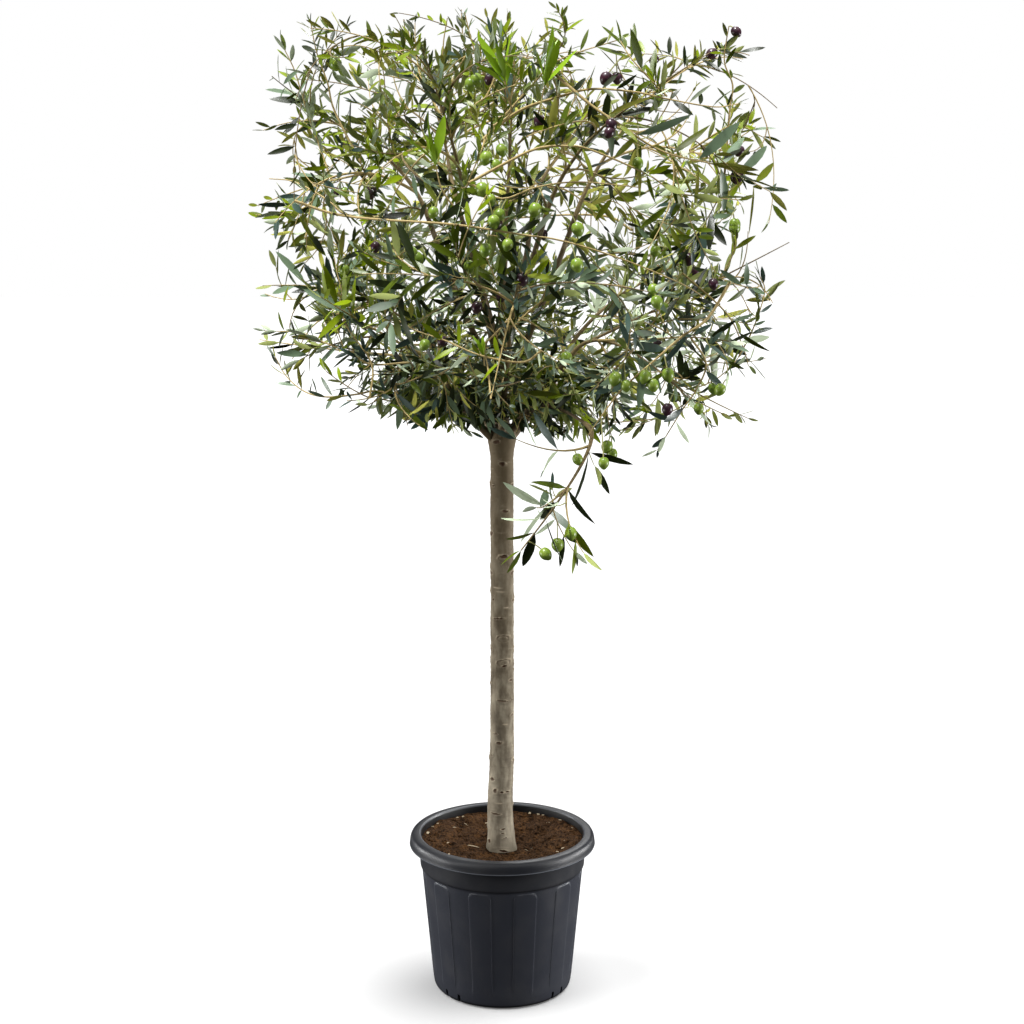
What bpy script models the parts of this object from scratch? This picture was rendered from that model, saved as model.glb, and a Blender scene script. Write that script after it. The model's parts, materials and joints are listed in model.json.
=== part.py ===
"""Potted olive tree: a standard with a clear stem and a square-topped crown, in a nursery pot.

Metres, +Z up. The origin is the centre of the pot's flat underside, and the side that is seen
first faces -Y. The trunk stands on the soil and carries a leader and six low boughs. Six more
boughs leave the leader, and a thin limb leaves the low front right bough for the spray that hangs
in front of the trunk. Each bough ends where its mass of foliage begins. A mass keeps to its own
space: the part of the crown that lies nearer to its site than to any other mass's.
"""

import math
import random
from dataclasses import dataclass, field

import bmesh
import bpy
from mathutils import Matrix, Vector

GAP = 0.0003  # clearance between pieces that touch on the real tree

# Pot: a 20 litre moulded nursery container
POT_HEIGHT = 0.291
RIM_RADIUS = 0.170
RIM_LEDGE_RADIUS = 0.162  # where the flat top of the rim turns down
RIM_DEPTH = 0.021
COLLAR_RADIUS = 0.152
COLLAR_FOOT = 0.230
COLLAR_STRAIGHT = 0.260  # height from which the inner wall rises straight to the rim
FLUTE_RADIUS_TOP = 0.1480
FLUTE_RADIUS_FOOT = 0.1285
FLUTE_FOOT = 0.020
FLUTE_DEPTH = 0.0018
FLUTES = 11
FLUTE_TURN = 20.8  # degrees
STEPS_PER_FLUTE = 4
BASE_RADIUS = 0.1200
WALL = 0.0030
DRAIN_WIDTH = 0.006
DRAIN_HEIGHT = 0.017
DRAIN_LENGTH = 0.026
DRAIN_AZIMUTHS = (46, 58, 126, 138, 222, 234, 308, 322)  # degrees from the front, in pairs

# Soil and trunk
SOIL_TOP = 0.258
SOIL_FLAT = 0.045  # radius of the level part round the trunk
SOIL_DISH = 0.0175  # how much higher it stands at the wall
SOIL_RINGS = 3
TRUNK_TOP = 1.045
TRUNK_RADIUS = 0.0202
ROOT_FLARE = 0.0060
ROOT_FLARE_HEIGHT = 0.022
HEAD_SWELL = 0.0050
HEAD_HEIGHT = 1.020
HEAD_SWELL_HEIGHT = 0.022
TRUNK_TAPER = 0.0040
TRUNK_TAPER_HEIGHT = 0.25
TRUNK_SWAY = 0.0042  # to the left, near the foot
SWAY_HEIGHT = 0.345
SWAY_SPREAD = 0.070
TRUNK_RINGS = 14

# Crown: a rounded box whose underside hangs lower on its right
CROWN_CENTRE = Vector((0.027, 0.0, 1.395))
CROWN_HALF = Vector((0.468, 0.455, 0.363))
CROWN_SAG = 0.12
PLAN_POWER = 2.6
SIDE_POWER = 5.0

# Boughs. Where one leaves the trunk or leader, where its curve leans and where it ends are given as
# a radius from the axis and a height, with a few degrees of twist towards the tip
LEADER_TOP = 1.360
LEADER_LEAN = (-0.004, 0.003)
LEADER_TIP = (0.006, 0.0)
LOW_START = 1.004
LOW_START_STEP = 0.008  # between neighbours, in threes
LOW_LEAN = (0.070, 0.055)
LOW_TIP = (0.130, 0.145)
LOW_TWIST = 4
HIGH_START = 1.105
HIGH_START_STEP = 0.026
HIGH_LEAN = (0.055, 0.095)
HIGH_TIP = (0.128, 1.405)
HIGH_TWIST = 5
HANGING_LEAN = Vector((0.105, -0.085, 1.085))
HANGING_TIP = Vector((0.140, -0.200, 1.070))
LEADER_RADII = (0.0120, 0.0052)
LOW_BOUGH_RADII = (0.0078, 0.0044)
HIGH_BOUGH_RADII = (0.0065, 0.0042)
HANGING_BOUGH_RADII = (0.0036, 0.0024)
BOUGH_STEPS = 6

# Foliage
RING_RADIUS = 0.265
LOW_RING_HEIGHT = 1.190
HIGH_RING_HEIGHT = 1.570
RING_STAGGER = 0.060
TOP_SITE = Vector((0.02, 0.0, 1.640))
HANGING_SITE = Vector((0.076, -0.285, 0.958))
HANGING_HALF = Vector((0.088, 0.095, 0.105))
SITE_SHIFT = Vector((0.02, 0.0, 0.0))  # of the rings of sites, towards the fuller side
STEM_REACH = 0.80  # of the way from the bough's tip through the site to the outline
STEM_STEPS = 6
STEM_SEAT = 0.008  # straight on from the bough before the stem bends
TWIG_STEPS = 3
TIP_TRIES = 400
TIP_CHOICES = 12
TIP_ROOM = 0.006
TIP_SPREAD = 0.75  # of the crown's half size, round the mass's site
OUTER_SHARE = 0.67  # of the tips, moved out to the outer band of the crown
OUTER_BAND = (0.90, 0.985)
INNER_BAND = (0.45, 0.90)
TWIG_ROOM = 0.0045
FAR_COST = 1.55  # of a way, against which a straight way on from the twig saves TURN_SAVING
TURN_SAVING = 0.75
TWIG_LIFT = 0.15
TWIG_GIRTH = 0.006  # added to its foot for each metre of a twig
FORK_TAPER = 0.9
TIP_TAPER = 0.8
LEAFY_SHARE = 0.72  # of a twig, from its tip
TIP_SEAT = 0.006  # between the tip and the first pair of leaves
TIP_SPLAY, SPLAY, SPLAY_RANGE = 24, 48, 8  # degrees between a leaf and its twig
LEAF_LENGTH = 0.130
LEAF_WIDTH = 0.038
LEAF_THICKNESS = 0.0028
LEAF_SPACING = 0.0602
LEAF_ROOM = 0.014  # round the middle of a leaf
TWIG_RADIUS = 0.0016
STEM_RADIUS = 0.0040
FRUIT_LENGTH = 0.024
FRUIT_WIDTH = 0.019
FRUIT_DROP = 0.021

LOW_NAMES = ("back_right", "back", "back_left", "front_left", "front", "front_right")
HIGH_NAMES = ("right", "back_right", "back_left", "left", "front_left", "front_right")


# ---------------------------------------------------------------- scene helpers


def clear_scene():
    for obj in list(bpy.data.objects):
        bpy.data.objects.remove(obj)


def new_collection(name):
    collection = bpy.data.collections.new(name)
    bpy.context.scene.collection.children.link(collection)
    return collection


def finish(name, colour, roughness):
    """A plain coloured finish; colour is linear RGB."""
    material = bpy.data.materials.new(name)
    material.use_nodes = True
    shader = material.node_tree.nodes["Principled BSDF"]
    shader.inputs["Base Color"].default_value = (*colour, 1.0)
    shader.inputs["Roughness"].default_value = roughness
    shader.inputs["Metallic"].default_value = 0.0
    return material


def add_object(name, data, collection, material=None):
    obj = bpy.data.objects.new(name, data)
    collection.objects.link(obj)
    if material:
        data.materials.append(material)
    return obj


def as_mesh(obj, collection, weld=True):
    """Replaces a curve, or an object with modifiers, by the mesh that it evaluates to.

    Welding closes a curve's caps.
    """
    bpy.context.view_layer.update()
    graph = bpy.context.evaluated_depsgraph_get()
    mesh = bpy.data.meshes.new_from_object(obj.evaluated_get(graph), depsgraph=graph)
    if weld:
        bm = bmesh.new()
        bm.from_mesh(mesh)
        bmesh.ops.remove_doubles(bm, verts=bm.verts, dist=1e-6)
        bm.to_mesh(mesh)
        bm.free()
    name, matrix = obj.name, obj.matrix_world.copy()
    bpy.data.objects.remove(obj)
    made = bpy.data.objects.new(name, mesh)
    made.matrix_world = matrix
    collection.objects.link(made)
    return made


def boolean(obj, operation, other=None, collection=None, solver="EXACT"):
    modifier = obj.modifiers.new(operation.title(), "BOOLEAN")
    modifier.operation = operation
    modifier.solver = solver
    if collection:
        modifier.operand_type = "COLLECTION"
        modifier.collection = collection
    else:
        modifier.object = other


def smooth(mesh, degrees):
    mesh.shade_smooth()
    mesh.set_sharp_from_angle(angle=math.radians(degrees))


# ---------------------------------------------------------------- pot and soil


def turned(name, profile, steps, collection, material):
    """A closed solid of revolution. The profile starts and ends on the axis."""
    mesh = bpy.data.meshes.new(name)
    points = [(radius, 0.0, height) for radius, height in profile]
    mesh.from_pydata(points, [(n, n + 1) for n in range(len(points) - 1)], [])
    obj = add_object(name, mesh, collection, material)
    screw = obj.modifiers.new("Turn", "SCREW")
    screw.steps = screw.render_steps = steps
    screw.use_merge_vertices = True
    screw.merge_threshold = 0.0001
    return as_mesh(obj, collection)


def wall_radius(height):
    """The pot's plain outer wall between its foot and its collar."""
    share = (height - FLUTE_FOOT) / (COLLAR_FOOT - FLUTE_FOOT)
    return FLUTE_RADIUS_FOOT + (FLUTE_RADIUS_TOP - FLUTE_RADIUS_FOOT) * share


def inner_radius(height):
    return wall_radius(height) - FLUTE_DEPTH - WALL


def make_pot(collection, cutters, material):
    lip_foot = POT_HEIGHT - RIM_DEPTH
    inside = COLLAR_RADIUS - WALL
    profile = [
        (0.0, WALL),
        (inner_radius(WALL) - 0.004, WALL),
        (inner_radius(2 * WALL), 2 * WALL),
        (inner_radius(COLLAR_FOOT), COLLAR_FOOT),
        (inside, COLLAR_STRAIGHT),
        (inside, POT_HEIGHT - 0.0025),
        (inside + 0.0025, POT_HEIGHT),
        (RIM_LEDGE_RADIUS, POT_HEIGHT),
        (RIM_RADIUS - 0.0038, POT_HEIGHT - 0.0035),
        (RIM_RADIUS - 0.0011, POT_HEIGHT - 0.0105),
        (RIM_RADIUS, lip_foot + 0.0025),
        (RIM_RADIUS - 0.0015, lip_foot),
        (COLLAR_RADIUS + 0.0010, lip_foot + 0.001),
        (COLLAR_RADIUS - 0.0020, COLLAR_FOOT + 0.004),
        (wall_radius(COLLAR_FOOT), COLLAR_FOOT),
        (wall_radius(COLLAR_FOOT - 0.006), COLLAR_FOOT - 0.006),
        (wall_radius(FLUTE_FOOT), FLUTE_FOOT),
        (BASE_RADIUS + 0.006, 0.0050),
        (BASE_RADIUS, 0.0),
        (0.0, 0.0),
    ]
    pot = turned("pot", profile, FLUTES * STEPS_PER_FLUTE, collection, material)
    sink_flutes(pot.data)
    pot.data.transform(Matrix.Rotation(math.radians(FLUTE_TURN), 4, "Z"))
    for number, azimuth in enumerate(DRAIN_AZIMUTHS):
        boolean(pot, "DIFFERENCE", drain_cutter(number, azimuth, cutters))
    smooth(pot.data, 35)


def sink_flutes(mesh):
    """Presses every second panel of the outer wall in, between the foot and the collar."""
    step = 2 * math.pi / (FLUTES * STEPS_PER_FLUTE)
    for vertex in mesh.vertices:
        radius, height = vertex.co.xy.length, vertex.co.z
        on_wall = abs(radius - wall_radius(height)) < 1e-5 and radius > 0.1
        if not on_wall or not FLUTE_FOOT - 1e-5 < height < COLLAR_FOOT - 0.005:
            continue
        turn = round(math.atan2(vertex.co.y, vertex.co.x) / step) % STEPS_PER_FLUTE
        if turn >= STEPS_PER_FLUTE // 2:
            vertex.co.xy *= (radius - FLUTE_DEPTH) / radius


def drain_cutter(number, azimuth, cutters):
    """A slot across the bottom corner of the pot, which water drains from."""
    mesh = bpy.data.meshes.new(f"drain_cutter_{number}")
    bm = bmesh.new()
    bmesh.ops.create_cube(bm, size=1.0)
    across = Matrix.Rotation(math.radians(azimuth - 90), 4, "Z")
    place = Matrix.Translation((BASE_RADIUS + 0.007, 0.0, DRAIN_HEIGHT / 2 - 0.002))
    size = Matrix.Diagonal((DRAIN_LENGTH, DRAIN_WIDTH, DRAIN_HEIGHT + 0.004, 1.0))
    bmesh.ops.transform(bm, verts=bm.verts, matrix=across @ place @ size)
    bm.to_mesh(mesh)
    bm.free()
    cutter = add_object(mesh.name, mesh, cutters)
    cutter.hide_render = True
    cutter.display_type = "WIRE"
    return cutter


def make_soil(collection, material):
    """Compost that is level round the trunk and rises like a dish to the wall."""
    low, wall = WALL + GAP, COLLAR_RADIUS - WALL - GAP
    profile = [(0.0, SOIL_TOP)]
    for n in range(SOIL_RINGS + 1):
        share = n / SOIL_RINGS
        radius = SOIL_FLAT + (wall - 0.004 - SOIL_FLAT) * share
        profile.append((radius, SOIL_TOP + SOIL_DISH * share * share * (3 - 2 * share)))
    profile += [
        (wall, SOIL_TOP + SOIL_DISH - 0.004),
        (wall, COLLAR_STRAIGHT),
        (inner_radius(COLLAR_FOOT) - GAP, COLLAR_FOOT),
        (inner_radius(2 * WALL) - GAP, 2 * WALL),
        (inner_radius(WALL) - 0.0045, low),
        (0.0, low),
    ]
    soil = turned("soil", profile, FLUTES * STEPS_PER_FLUTE // 2, collection, material)
    soil.data.transform(Matrix.Rotation(math.radians(FLUTE_TURN), 4, "Z"))
    smooth(soil.data, 35)


# ---------------------------------------------------------------- limbs


@dataclass
class Limb:
    """A tapering limb: points along its middle and a radius at each. It has 4 + 2 * turns sides."""

    name: str
    points: list
    radii: list
    turns: int = 1

    def tip(self):
        return self.points[-1]

    def heading(self):
        return (self.points[-1] - self.points[-2]).normalized()

    def clearance(self, point):
        """How far the point lies from the limb's skin."""
        return min(
            distance_to_segment(point, a, b) - max(ra, rb)
            for a, b, ra, rb in zip(
                self.points, self.points[1:], self.radii, self.radii[1:]
            )
        )


def distance_to_segment(point, start, end):
    along = end - start
    share = (point - start).dot(along) / along.length_squared
    return (point - start - along * min(1.0, max(0.0, share))).length


def bend(start, lean, end, steps):
    """Points of the curve that leaves start towards lean and arrives at end."""
    shares = [n / steps for n in range(steps + 1)]
    return [
        start * (1 - t) ** 2 + lean * (2 * t * (1 - t)) + end * t**2 for t in shares
    ]


def around(azimuth, radius, height):
    """A point at this azimuth in degrees, counted anticlockwise from +X as seen from above."""
    turn = math.radians(azimuth)
    return Vector((radius * math.cos(turn), radius * math.sin(turn), height))


def trunk_limb():
    points, radii = [], []
    for n in range(TRUNK_RINGS + 1):
        share = n / TRUNK_RINGS
        height = SOIL_TOP + GAP + (TRUNK_TOP - SOIL_TOP - GAP) * share**1.25
        rise = height - SOIL_TOP
        flare = ROOT_FLARE * math.exp(-rise / ROOT_FLARE_HEIGHT)
        taper = TRUNK_TAPER * math.exp(-rise / TRUNK_TAPER_HEIGHT)
        swell = HEAD_SWELL * math.exp(-(((height - HEAD_HEIGHT) / HEAD_SWELL_HEIGHT) ** 2))
        sway = -TRUNK_SWAY * math.exp(-(((height - SWAY_HEIGHT) / SWAY_SPREAD) ** 2))
        points.append(Vector((sway, 0.4 * sway, height)))
        radii.append(TRUNK_RADIUS + taper + flare + swell)
    points[0].xy = points[1].xy  # so that the foot is cut level
    return Limb("trunk", points, radii, turns=6)


def leader_limb(trunk):
    foot = trunk.tip() - trunk.heading() * 0.01
    middle = Vector((*LEADER_LEAN, (TRUNK_TOP + LEADER_TOP) / 2))
    return Limb(
        "bough_leader",
        bend(foot, middle, Vector((*LEADER_TIP, LEADER_TOP)), BOUGH_STEPS),
        tapered(LEADER_RADII, BOUGH_STEPS),
        turns=2,
    )


def tapered(ends, steps):
    return [ends[0] + (ends[1] - ends[0]) * n / steps for n in range(steps + 1)]


def low_bough(number, name, azimuth):
    """Leaves the head of the trunk at a flat angle and turns a little upwards."""
    start = around(azimuth, 0.0, LOW_START + LOW_START_STEP * (number % 3))
    lean = around(azimuth, LOW_LEAN[0], start.z + LOW_LEAN[1])
    tip = around(azimuth + LOW_TWIST, LOW_TIP[0], start.z + LOW_TIP[1])
    return Limb(
        f"bough_low_{name}",
        bend(start, lean, tip, BOUGH_STEPS),
        tapered(LOW_BOUGH_RADII, BOUGH_STEPS),
    )


def high_bough(number, name, azimuth):
    """Leaves the leader steeply and opens out to the upper half of the crown."""
    start = around(azimuth, 0.0, HIGH_START + HIGH_START_STEP * (number % 3))
    lean = around(azimuth, HIGH_LEAN[0], start.z + HIGH_LEAN[1])
    tip = around(azimuth + HIGH_TWIST, *HIGH_TIP)
    return Limb(
        f"bough_high_{name}",
        bend(start, lean, tip, BOUGH_STEPS),
        tapered(HIGH_BOUGH_RADII, BOUGH_STEPS),
    )


def hanging_bough(carrier):
    """A thin side limb of a low bough, which carries the spray hanging in front of the trunk."""
    return Limb(
        "bough_hanging",
        bend(carrier.points[3], HANGING_LEAN, HANGING_TIP, BOUGH_STEPS),
        tapered(HANGING_BOUGH_RADII, BOUGH_STEPS),
    )


def make_limb(limb, collection, material=None, widen=0.0):
    """A curve whose points carry the limb's radii, made a closed mesh."""
    curve = bpy.data.curves.new(limb.name, "CURVE")
    curve.dimensions = "3D"
    curve.bevel_depth = 1.0
    curve.bevel_resolution = limb.turns
    curve.use_fill_caps = True
    spline = curve.splines.new("POLY")
    spline.points.add(len(limb.points) - 1)
    for place, point, radius in zip(spline.points, limb.points, limb.radii):
        place.co = (*point, 1.0)
        place.radius = radius + widen
    obj = add_object(limb.name, curve, collection, material)
    made = as_mesh(obj, collection)
    smooth(made.data, 50)
    return made


def seat_on(bough, carrier, cutters):
    """Cuts the bough's foot to the skin of the limb that carries it, a hair's breadth clear."""
    beyond = carrier.tip() + carrier.heading() * GAP
    name = f"{carrier.name}_skin_{len(cutters.objects)}"
    widened = Limb(name, carrier.points[:-1] + [beyond], carrier.radii, carrier.turns)
    cutter = make_limb(widened, cutters, widen=GAP)
    cutter.hide_render = True
    cutter.display_type = "WIRE"
    boolean(bough, "DIFFERENCE", cutter)


# ---------------------------------------------------------------- foliage


@dataclass
class Mass:
    """One mass of foliage: where it grows from, the site of its space, and what it bears."""

    name: str
    bough: Limb
    site: Vector
    seed: int
    twigs: int
    fruits: int = 0
    centre: Vector = field(default_factory=CROWN_CENTRE.copy)
    half: Vector = field(default_factory=CROWN_HALF.copy)
    sag: float = CROWN_SAG


def outline_share(mass, point):
    """0 at the centre of the crown, or of the hanging spray, and 1 on its outline."""
    side = point - mass.centre
    half_height = mass.half.z + (mass.sag * side.x if side.z < 0 else 0.0)
    plan = abs(side.x / mass.half.x) ** PLAN_POWER + abs(side.y / mass.half.y) ** PLAN_POWER
    return (plan ** (SIDE_POWER / PLAN_POWER) + abs(side.z / half_height) ** SIDE_POWER) ** (
        1 / SIDE_POWER
    )


def border_room(mass, sites, point):
    """How far the point lies inside the mass's own space, from its nearest border."""
    return min(
        ((point - site).length_squared - (point - mass.site).length_squared)
        / (2 * (site - mass.site).length)
        for site in sites
        if site is not mass.site
    )


def is_free(mass, sites, limbs, points, margin):
    """Whether all the points, with this margin, stay in the space and clear of every limb."""
    return all(
        outline_share(mass, point) <= 1.0
        and border_room(mass, sites, point) >= margin
        and all(limb.clearance(point) > margin for limb in limbs)
        for point in points
    )


@dataclass
class Twig:
    points: list
    radii: list

    def heading(self, index):
        after = min(index + 1, len(self.points) - 1)
        return (self.points[after] - self.points[max(after - 1, 0)]).normalized()


def random_point(rng, mass):
    """A point in the crown round the mass's site. Two in three are moved out towards the outline."""
    spread = Vector([rng.uniform(-1.0, 1.0) for _ in range(3)])
    point = mass.site + Vector([s * h * TIP_SPREAD for s, h in zip(spread, mass.half)])
    share = outline_share(mass, point)
    band = OUTER_BAND if rng.random() < OUTER_SHARE else INNER_BAND
    wanted = rng.uniform(*band)
    return mass.centre + (point - mass.centre) * (wanted / max(share, 1e-6))


def next_tip(rng, mass, sites, limbs, taken):
    """The roomiest of a few free points in the space, for the next twig to reach."""
    best, best_room = None, 0.0
    found = 0
    for _ in range(TIP_TRIES):
        point = random_point(rng, mass)
        if not is_free(mass, sites, limbs, [point], TIP_ROOM):
            continue
        room = min((point - other).length for other in taken)
        if room > best_room:
            best, best_room = point, room
        found += 1
        if found == TIP_CHOICES:
            break
    return best


def reach(twigs, tip):
    """A twig from the handiest place on the twigs grown so far, leaving it at an easy angle."""
    best = None
    for twig in twigs:
        for index in range(1, len(twig.points) - 1):
            to_tip = tip - twig.points[index]
            turn = twig.heading(index).dot(to_tip.normalized())
            cost = to_tip.length * (FAR_COST - TURN_SAVING * turn)
            if best is None or cost < best[0]:
                best = (cost, twig, index)
    _, twig, index = best
    start, length = twig.points[index], (tip - twig.points[index]).length
    leave = twig.heading(index) + (tip - start).normalized() + Vector((0, 0, TWIG_LIFT))
    thick = min(twig.radii[index] * FORK_TAPER, TWIG_RADIUS + TWIG_GIRTH * length)
    points = bend(start, start + leave.normalized() * (length / 2), tip, TWIG_STEPS)
    return Twig(points, tapered((thick, TWIG_RADIUS * TIP_TAPER), TWIG_STEPS))


def grow(mass, sites, limbs):
    """The mass's stem and twigs. Each twig reaches the roomiest point that is left."""
    rng = random.Random(mass.seed)
    foot = mass.bough.tip() + mass.bough.heading() * GAP
    start = foot + mass.bough.heading() * STEM_SEAT
    far = mass.site.copy()
    for n in range(1, 40):
        ahead = start + (mass.site - start) * (1 + 0.03 * n)
        if outline_share(mass, ahead) > STEM_REACH or border_room(mass, sites, ahead) < 0.02:
            break
        far = ahead
    lean = start + mass.bough.heading() * ((far - start).length * 0.4)
    points = [foot] + bend(start, lean, far, STEM_STEPS)
    stem = Twig(points, tapered((STEM_RADIUS, TWIG_RADIUS), STEM_STEPS + 1))
    twigs, taken = [stem], list(stem.points)
    for _ in range(mass.twigs):
        tip = next_tip(rng, mass, sites, limbs, taken)
        if tip is None:
            break
        twig = reach(twigs, tip)
        if is_free(mass, sites, limbs, twig.points[1:], TWIG_ROOM):
            twigs.append(twig)
            taken += twig.points[1:]
    return twigs


def leaf_places(rng, twig):
    """Pairs of leaves from the twig's tip back to its bare foot, each pair across the last."""
    lengths = [(b - a).length for a, b in zip(twig.points, twig.points[1:])]
    total, back, turn = sum(lengths), 0.0, rng.uniform(0, math.pi)
    while back < LEAFY_SHARE * total:
        at, heading = point_along(twig, lengths, total - max(back, TIP_SEAT))
        side = heading.orthogonal().normalized()
        splay = TIP_SPLAY if back == 0.0 else SPLAY
        for half_turn in (0.0, math.pi):
            swing = Matrix.Rotation(turn + half_turn, 3, heading) @ side
            angle = math.radians(splay + rng.uniform(-SPLAY_RANGE, SPLAY_RANGE))
            yield at, heading * math.cos(angle) + swing * math.sin(angle)
        back += LEAF_SPACING * rng.uniform(0.85, 1.15)
        turn += math.pi / 2 + rng.uniform(-0.3, 0.3)


def point_along(twig, lengths, distance):
    for index, length in enumerate(lengths):
        if distance <= length or index == len(lengths) - 1:
            share = min(1.0, distance / length)
            start, end = twig.points[index], twig.points[index + 1]
            return start.lerp(end, share), (end - start).normalized()
        distance -= length


def primitive(name, collection, material, matrix, create):
    """A closed mesh primitive, shaped and placed by the matrix, that a union can take."""
    mesh = bpy.data.meshes.new(name)
    bm = bmesh.new()
    create(bm)
    bmesh.ops.transform(bm, verts=bm.verts, matrix=matrix)
    if matrix.determinant() < 0:
        bmesh.ops.reverse_faces(bm, faces=bm.faces)
    bm.to_mesh(mesh)
    bm.free()
    return add_object(name, mesh, collection, material)


def along_z(direction, roll=0.0):
    return direction.to_track_quat("Z", "Y").to_matrix().to_4x4() @ Matrix.Rotation(roll, 4, "Z")


def leaf_corners(root, direction, length, width, roll):
    """The six corners of a lance-shaped leaf: its root and tip, and two pairs at its sides."""
    turn = along_z(direction, roll)
    across = turn.to_3x3() @ Vector((1, 0, 0))
    rise = turn.to_3x3() @ Vector((0, LEAF_THICKNESS / 2, 0))
    low, high = root + direction * (0.30 * length), root + direction * (0.66 * length)
    low_side, high_side = across * (width / 2), across * (0.42 * width)
    return [
        root,
        low + low_side + rise,
        low - low_side + rise,
        high + high_side - rise,
        high - high_side - rise,
        root + direction * length,
    ]


def fitting_leaf(rng, mass, sites, limbs, at, direction):
    """The corners of the longest leaf that fits here, or None where even a short one doesn't."""
    length = LEAF_LENGTH * rng.uniform(0.88, 1.12)
    width = LEAF_WIDTH * rng.uniform(0.88, 1.12)
    roll = rng.uniform(-0.9, 0.9)
    root = at - direction * 0.001
    for share in (1.0, 0.82, 0.66):
        corners = leaf_corners(root, direction, length * share, width * share**0.5, roll)
        spine = [root + direction * (length * share * n / 4) for n in (1, 2, 3)]
        if is_free(mass, sites, limbs, corners[1:], 0.001) and is_free(
            mass, sites, limbs, spine, width / 4
        ):
            return corners
    return None


def has_room(corners, filled):
    """Whether the leaf's blade keeps off the twigs and the blades of the leaves round it."""
    root, tip = corners[0], corners[-1]
    blade = [root.lerp(tip, share) for share in (0.3, 0.5, 0.7, 0.9)]
    return all(
        distance_to_segment(point, start, end) > LEAF_ROOM
        for start, end in filled
        for point in blade
    )


def add_leaf(collection, material, corners):
    """A leaf of eight faces round its six corners."""

    def wrap(bm):
        for corner in corners:
            bmesh.ops.create_vert(bm, co=corner)
        bmesh.ops.convex_hull(bm, input=bm.verts)

    primitive("leaf", collection, material, Matrix.Identity(4), wrap)


def add_fruit(collection, fruit_material, bark, root):
    """An olive hanging on a short stalk."""
    middle = root - Vector((0, 0, FRUIT_DROP))
    size = Matrix.Diagonal((FRUIT_WIDTH, FRUIT_WIDTH, FRUIT_LENGTH, 1.0))
    primitive(
        "fruit",
        collection,
        fruit_material,
        Matrix.Translation(middle) @ size,
        lambda bm: bmesh.ops.create_uvsphere(bm, u_segments=6, v_segments=4, radius=0.5),
    )
    primitive(
        "stalk",
        collection,
        bark,
        Matrix.Translation(root.lerp(middle, 0.5)),
        lambda bm: bmesh.ops.create_cone(
            bm, cap_ends=True, segments=3, radius1=0.0012, radius2=0.0012, depth=FRUIT_DROP
        ),
    )


def add_twig(name, twig, collection, material, section):
    """A three-sided tapering twig: a curve swept with a triangle, made a closed mesh."""
    curve = bpy.data.curves.new(name, "CURVE")
    curve.dimensions = "3D"
    curve.bevel_mode = "OBJECT"
    curve.bevel_object = section
    curve.use_fill_caps = True
    spline = curve.splines.new("POLY")
    spline.points.add(len(twig.points) - 1)
    for place, point, radius in zip(spline.points, twig.points, twig.radii):
        place.co = (*point, 1.0)
        place.radius = radius
    made = as_mesh(add_object(name, curve, collection, material), collection)
    bm = bmesh.new()
    bm.from_mesh(made.data)
    bmesh.ops.recalc_face_normals(bm, faces=bm.faces)
    bm.to_mesh(made.data)
    bm.free()
    return made


def triangle_section(cutters):
    """The unit triangle that twigs are swept with."""
    curve = bpy.data.curves.new("twig_section", "CURVE")
    curve.dimensions = "2D"
    spline = curve.splines.new("POLY")
    spline.points.add(2)
    for n, place in enumerate(spline.points):
        turn = 2 * math.pi * n / 3
        place.co = (math.cos(turn), math.sin(turn), 0.0, 1.0)
    spline.use_cyclic_u = True
    section = add_object("twig_section", curve, cutters)
    section.hide_render = True
    return section


def make_mass(mass, sites, limbs, tree, section, finishes):
    """Grows the mass and fuses its stem, twigs, leaves and fruit into one solid."""
    others = [limb for limb in limbs if limb is not mass.bough]
    twigs = grow(mass, sites, others)
    rng = random.Random(mass.seed + 1000)
    joined = new_collection(f"{mass.name}_pieces")
    stem = add_twig(mass.name, twigs[0], tree, finishes["bark"], section)
    for twig in twigs[1:]:
        add_twig("twig", twig, joined, finishes["bark"], section)
    fruits_left = mass.fruits
    filled = [ends for twig in twigs for ends in zip(twig.points, twig.points[1:])]
    for twig in twigs:
        for number, (at, direction) in enumerate(leaf_places(rng, twig)):
            corners = fitting_leaf(rng, mass, sites, limbs, at, direction)
            if corners and has_room(corners, filled):
                add_leaf(joined, finishes["leaf"], corners)
                filled.append((corners[0].lerp(corners[-1], 0.2), corners[-1]))
            below = at - Vector((0, 0, FRUIT_DROP))
            if fruits_left and number == 2 and is_free(mass, sites, limbs, [below], 0.014):
                add_fruit(joined, finishes["fruit"], finishes["bark"], at)
                fruits_left -= 1
    boolean(stem, "UNION", collection=joined, solver="MANIFOLD")
    made = as_mesh(stem, tree, weld=False)
    made.name = mass.name
    for obj in list(joined.objects):
        bpy.data.objects.remove(obj)
    bpy.data.collections.remove(joined)
    return made


def foliage_masses(low_boughs, high_boughs, leader, hanging):
    masses = []
    for number, (name, bough) in enumerate(zip(LOW_NAMES, low_boughs)):
        height = LOW_RING_HEIGHT + RING_STAGGER * (-1) ** number
        site = around(60 * number + 30, RING_RADIUS, height) + SITE_SHIFT
        masses.append(Mass(f"foliage_low_{name}", bough, site, 11 + number, twigs=8))
    for number, (name, bough) in enumerate(zip(HIGH_NAMES, high_boughs)):
        height = HIGH_RING_HEIGHT + RING_STAGGER * (-1) ** number
        site = around(60 * number, RING_RADIUS, height) + SITE_SHIFT
        masses.append(Mass(f"foliage_high_{name}", bough, site, 31 + number, twigs=7, fruits=1))
    masses.append(Mass("foliage_top", leader, TOP_SITE, 51, twigs=5))
    masses.append(
        Mass(
            "foliage_hanging",
            hanging,
            HANGING_SITE,
            61,
            twigs=3,
            fruits=3,
            centre=HANGING_SITE,
            half=HANGING_HALF,
            sag=0.0,
        )
    )
    return masses


# ---------------------------------------------------------------- the whole tree


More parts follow.
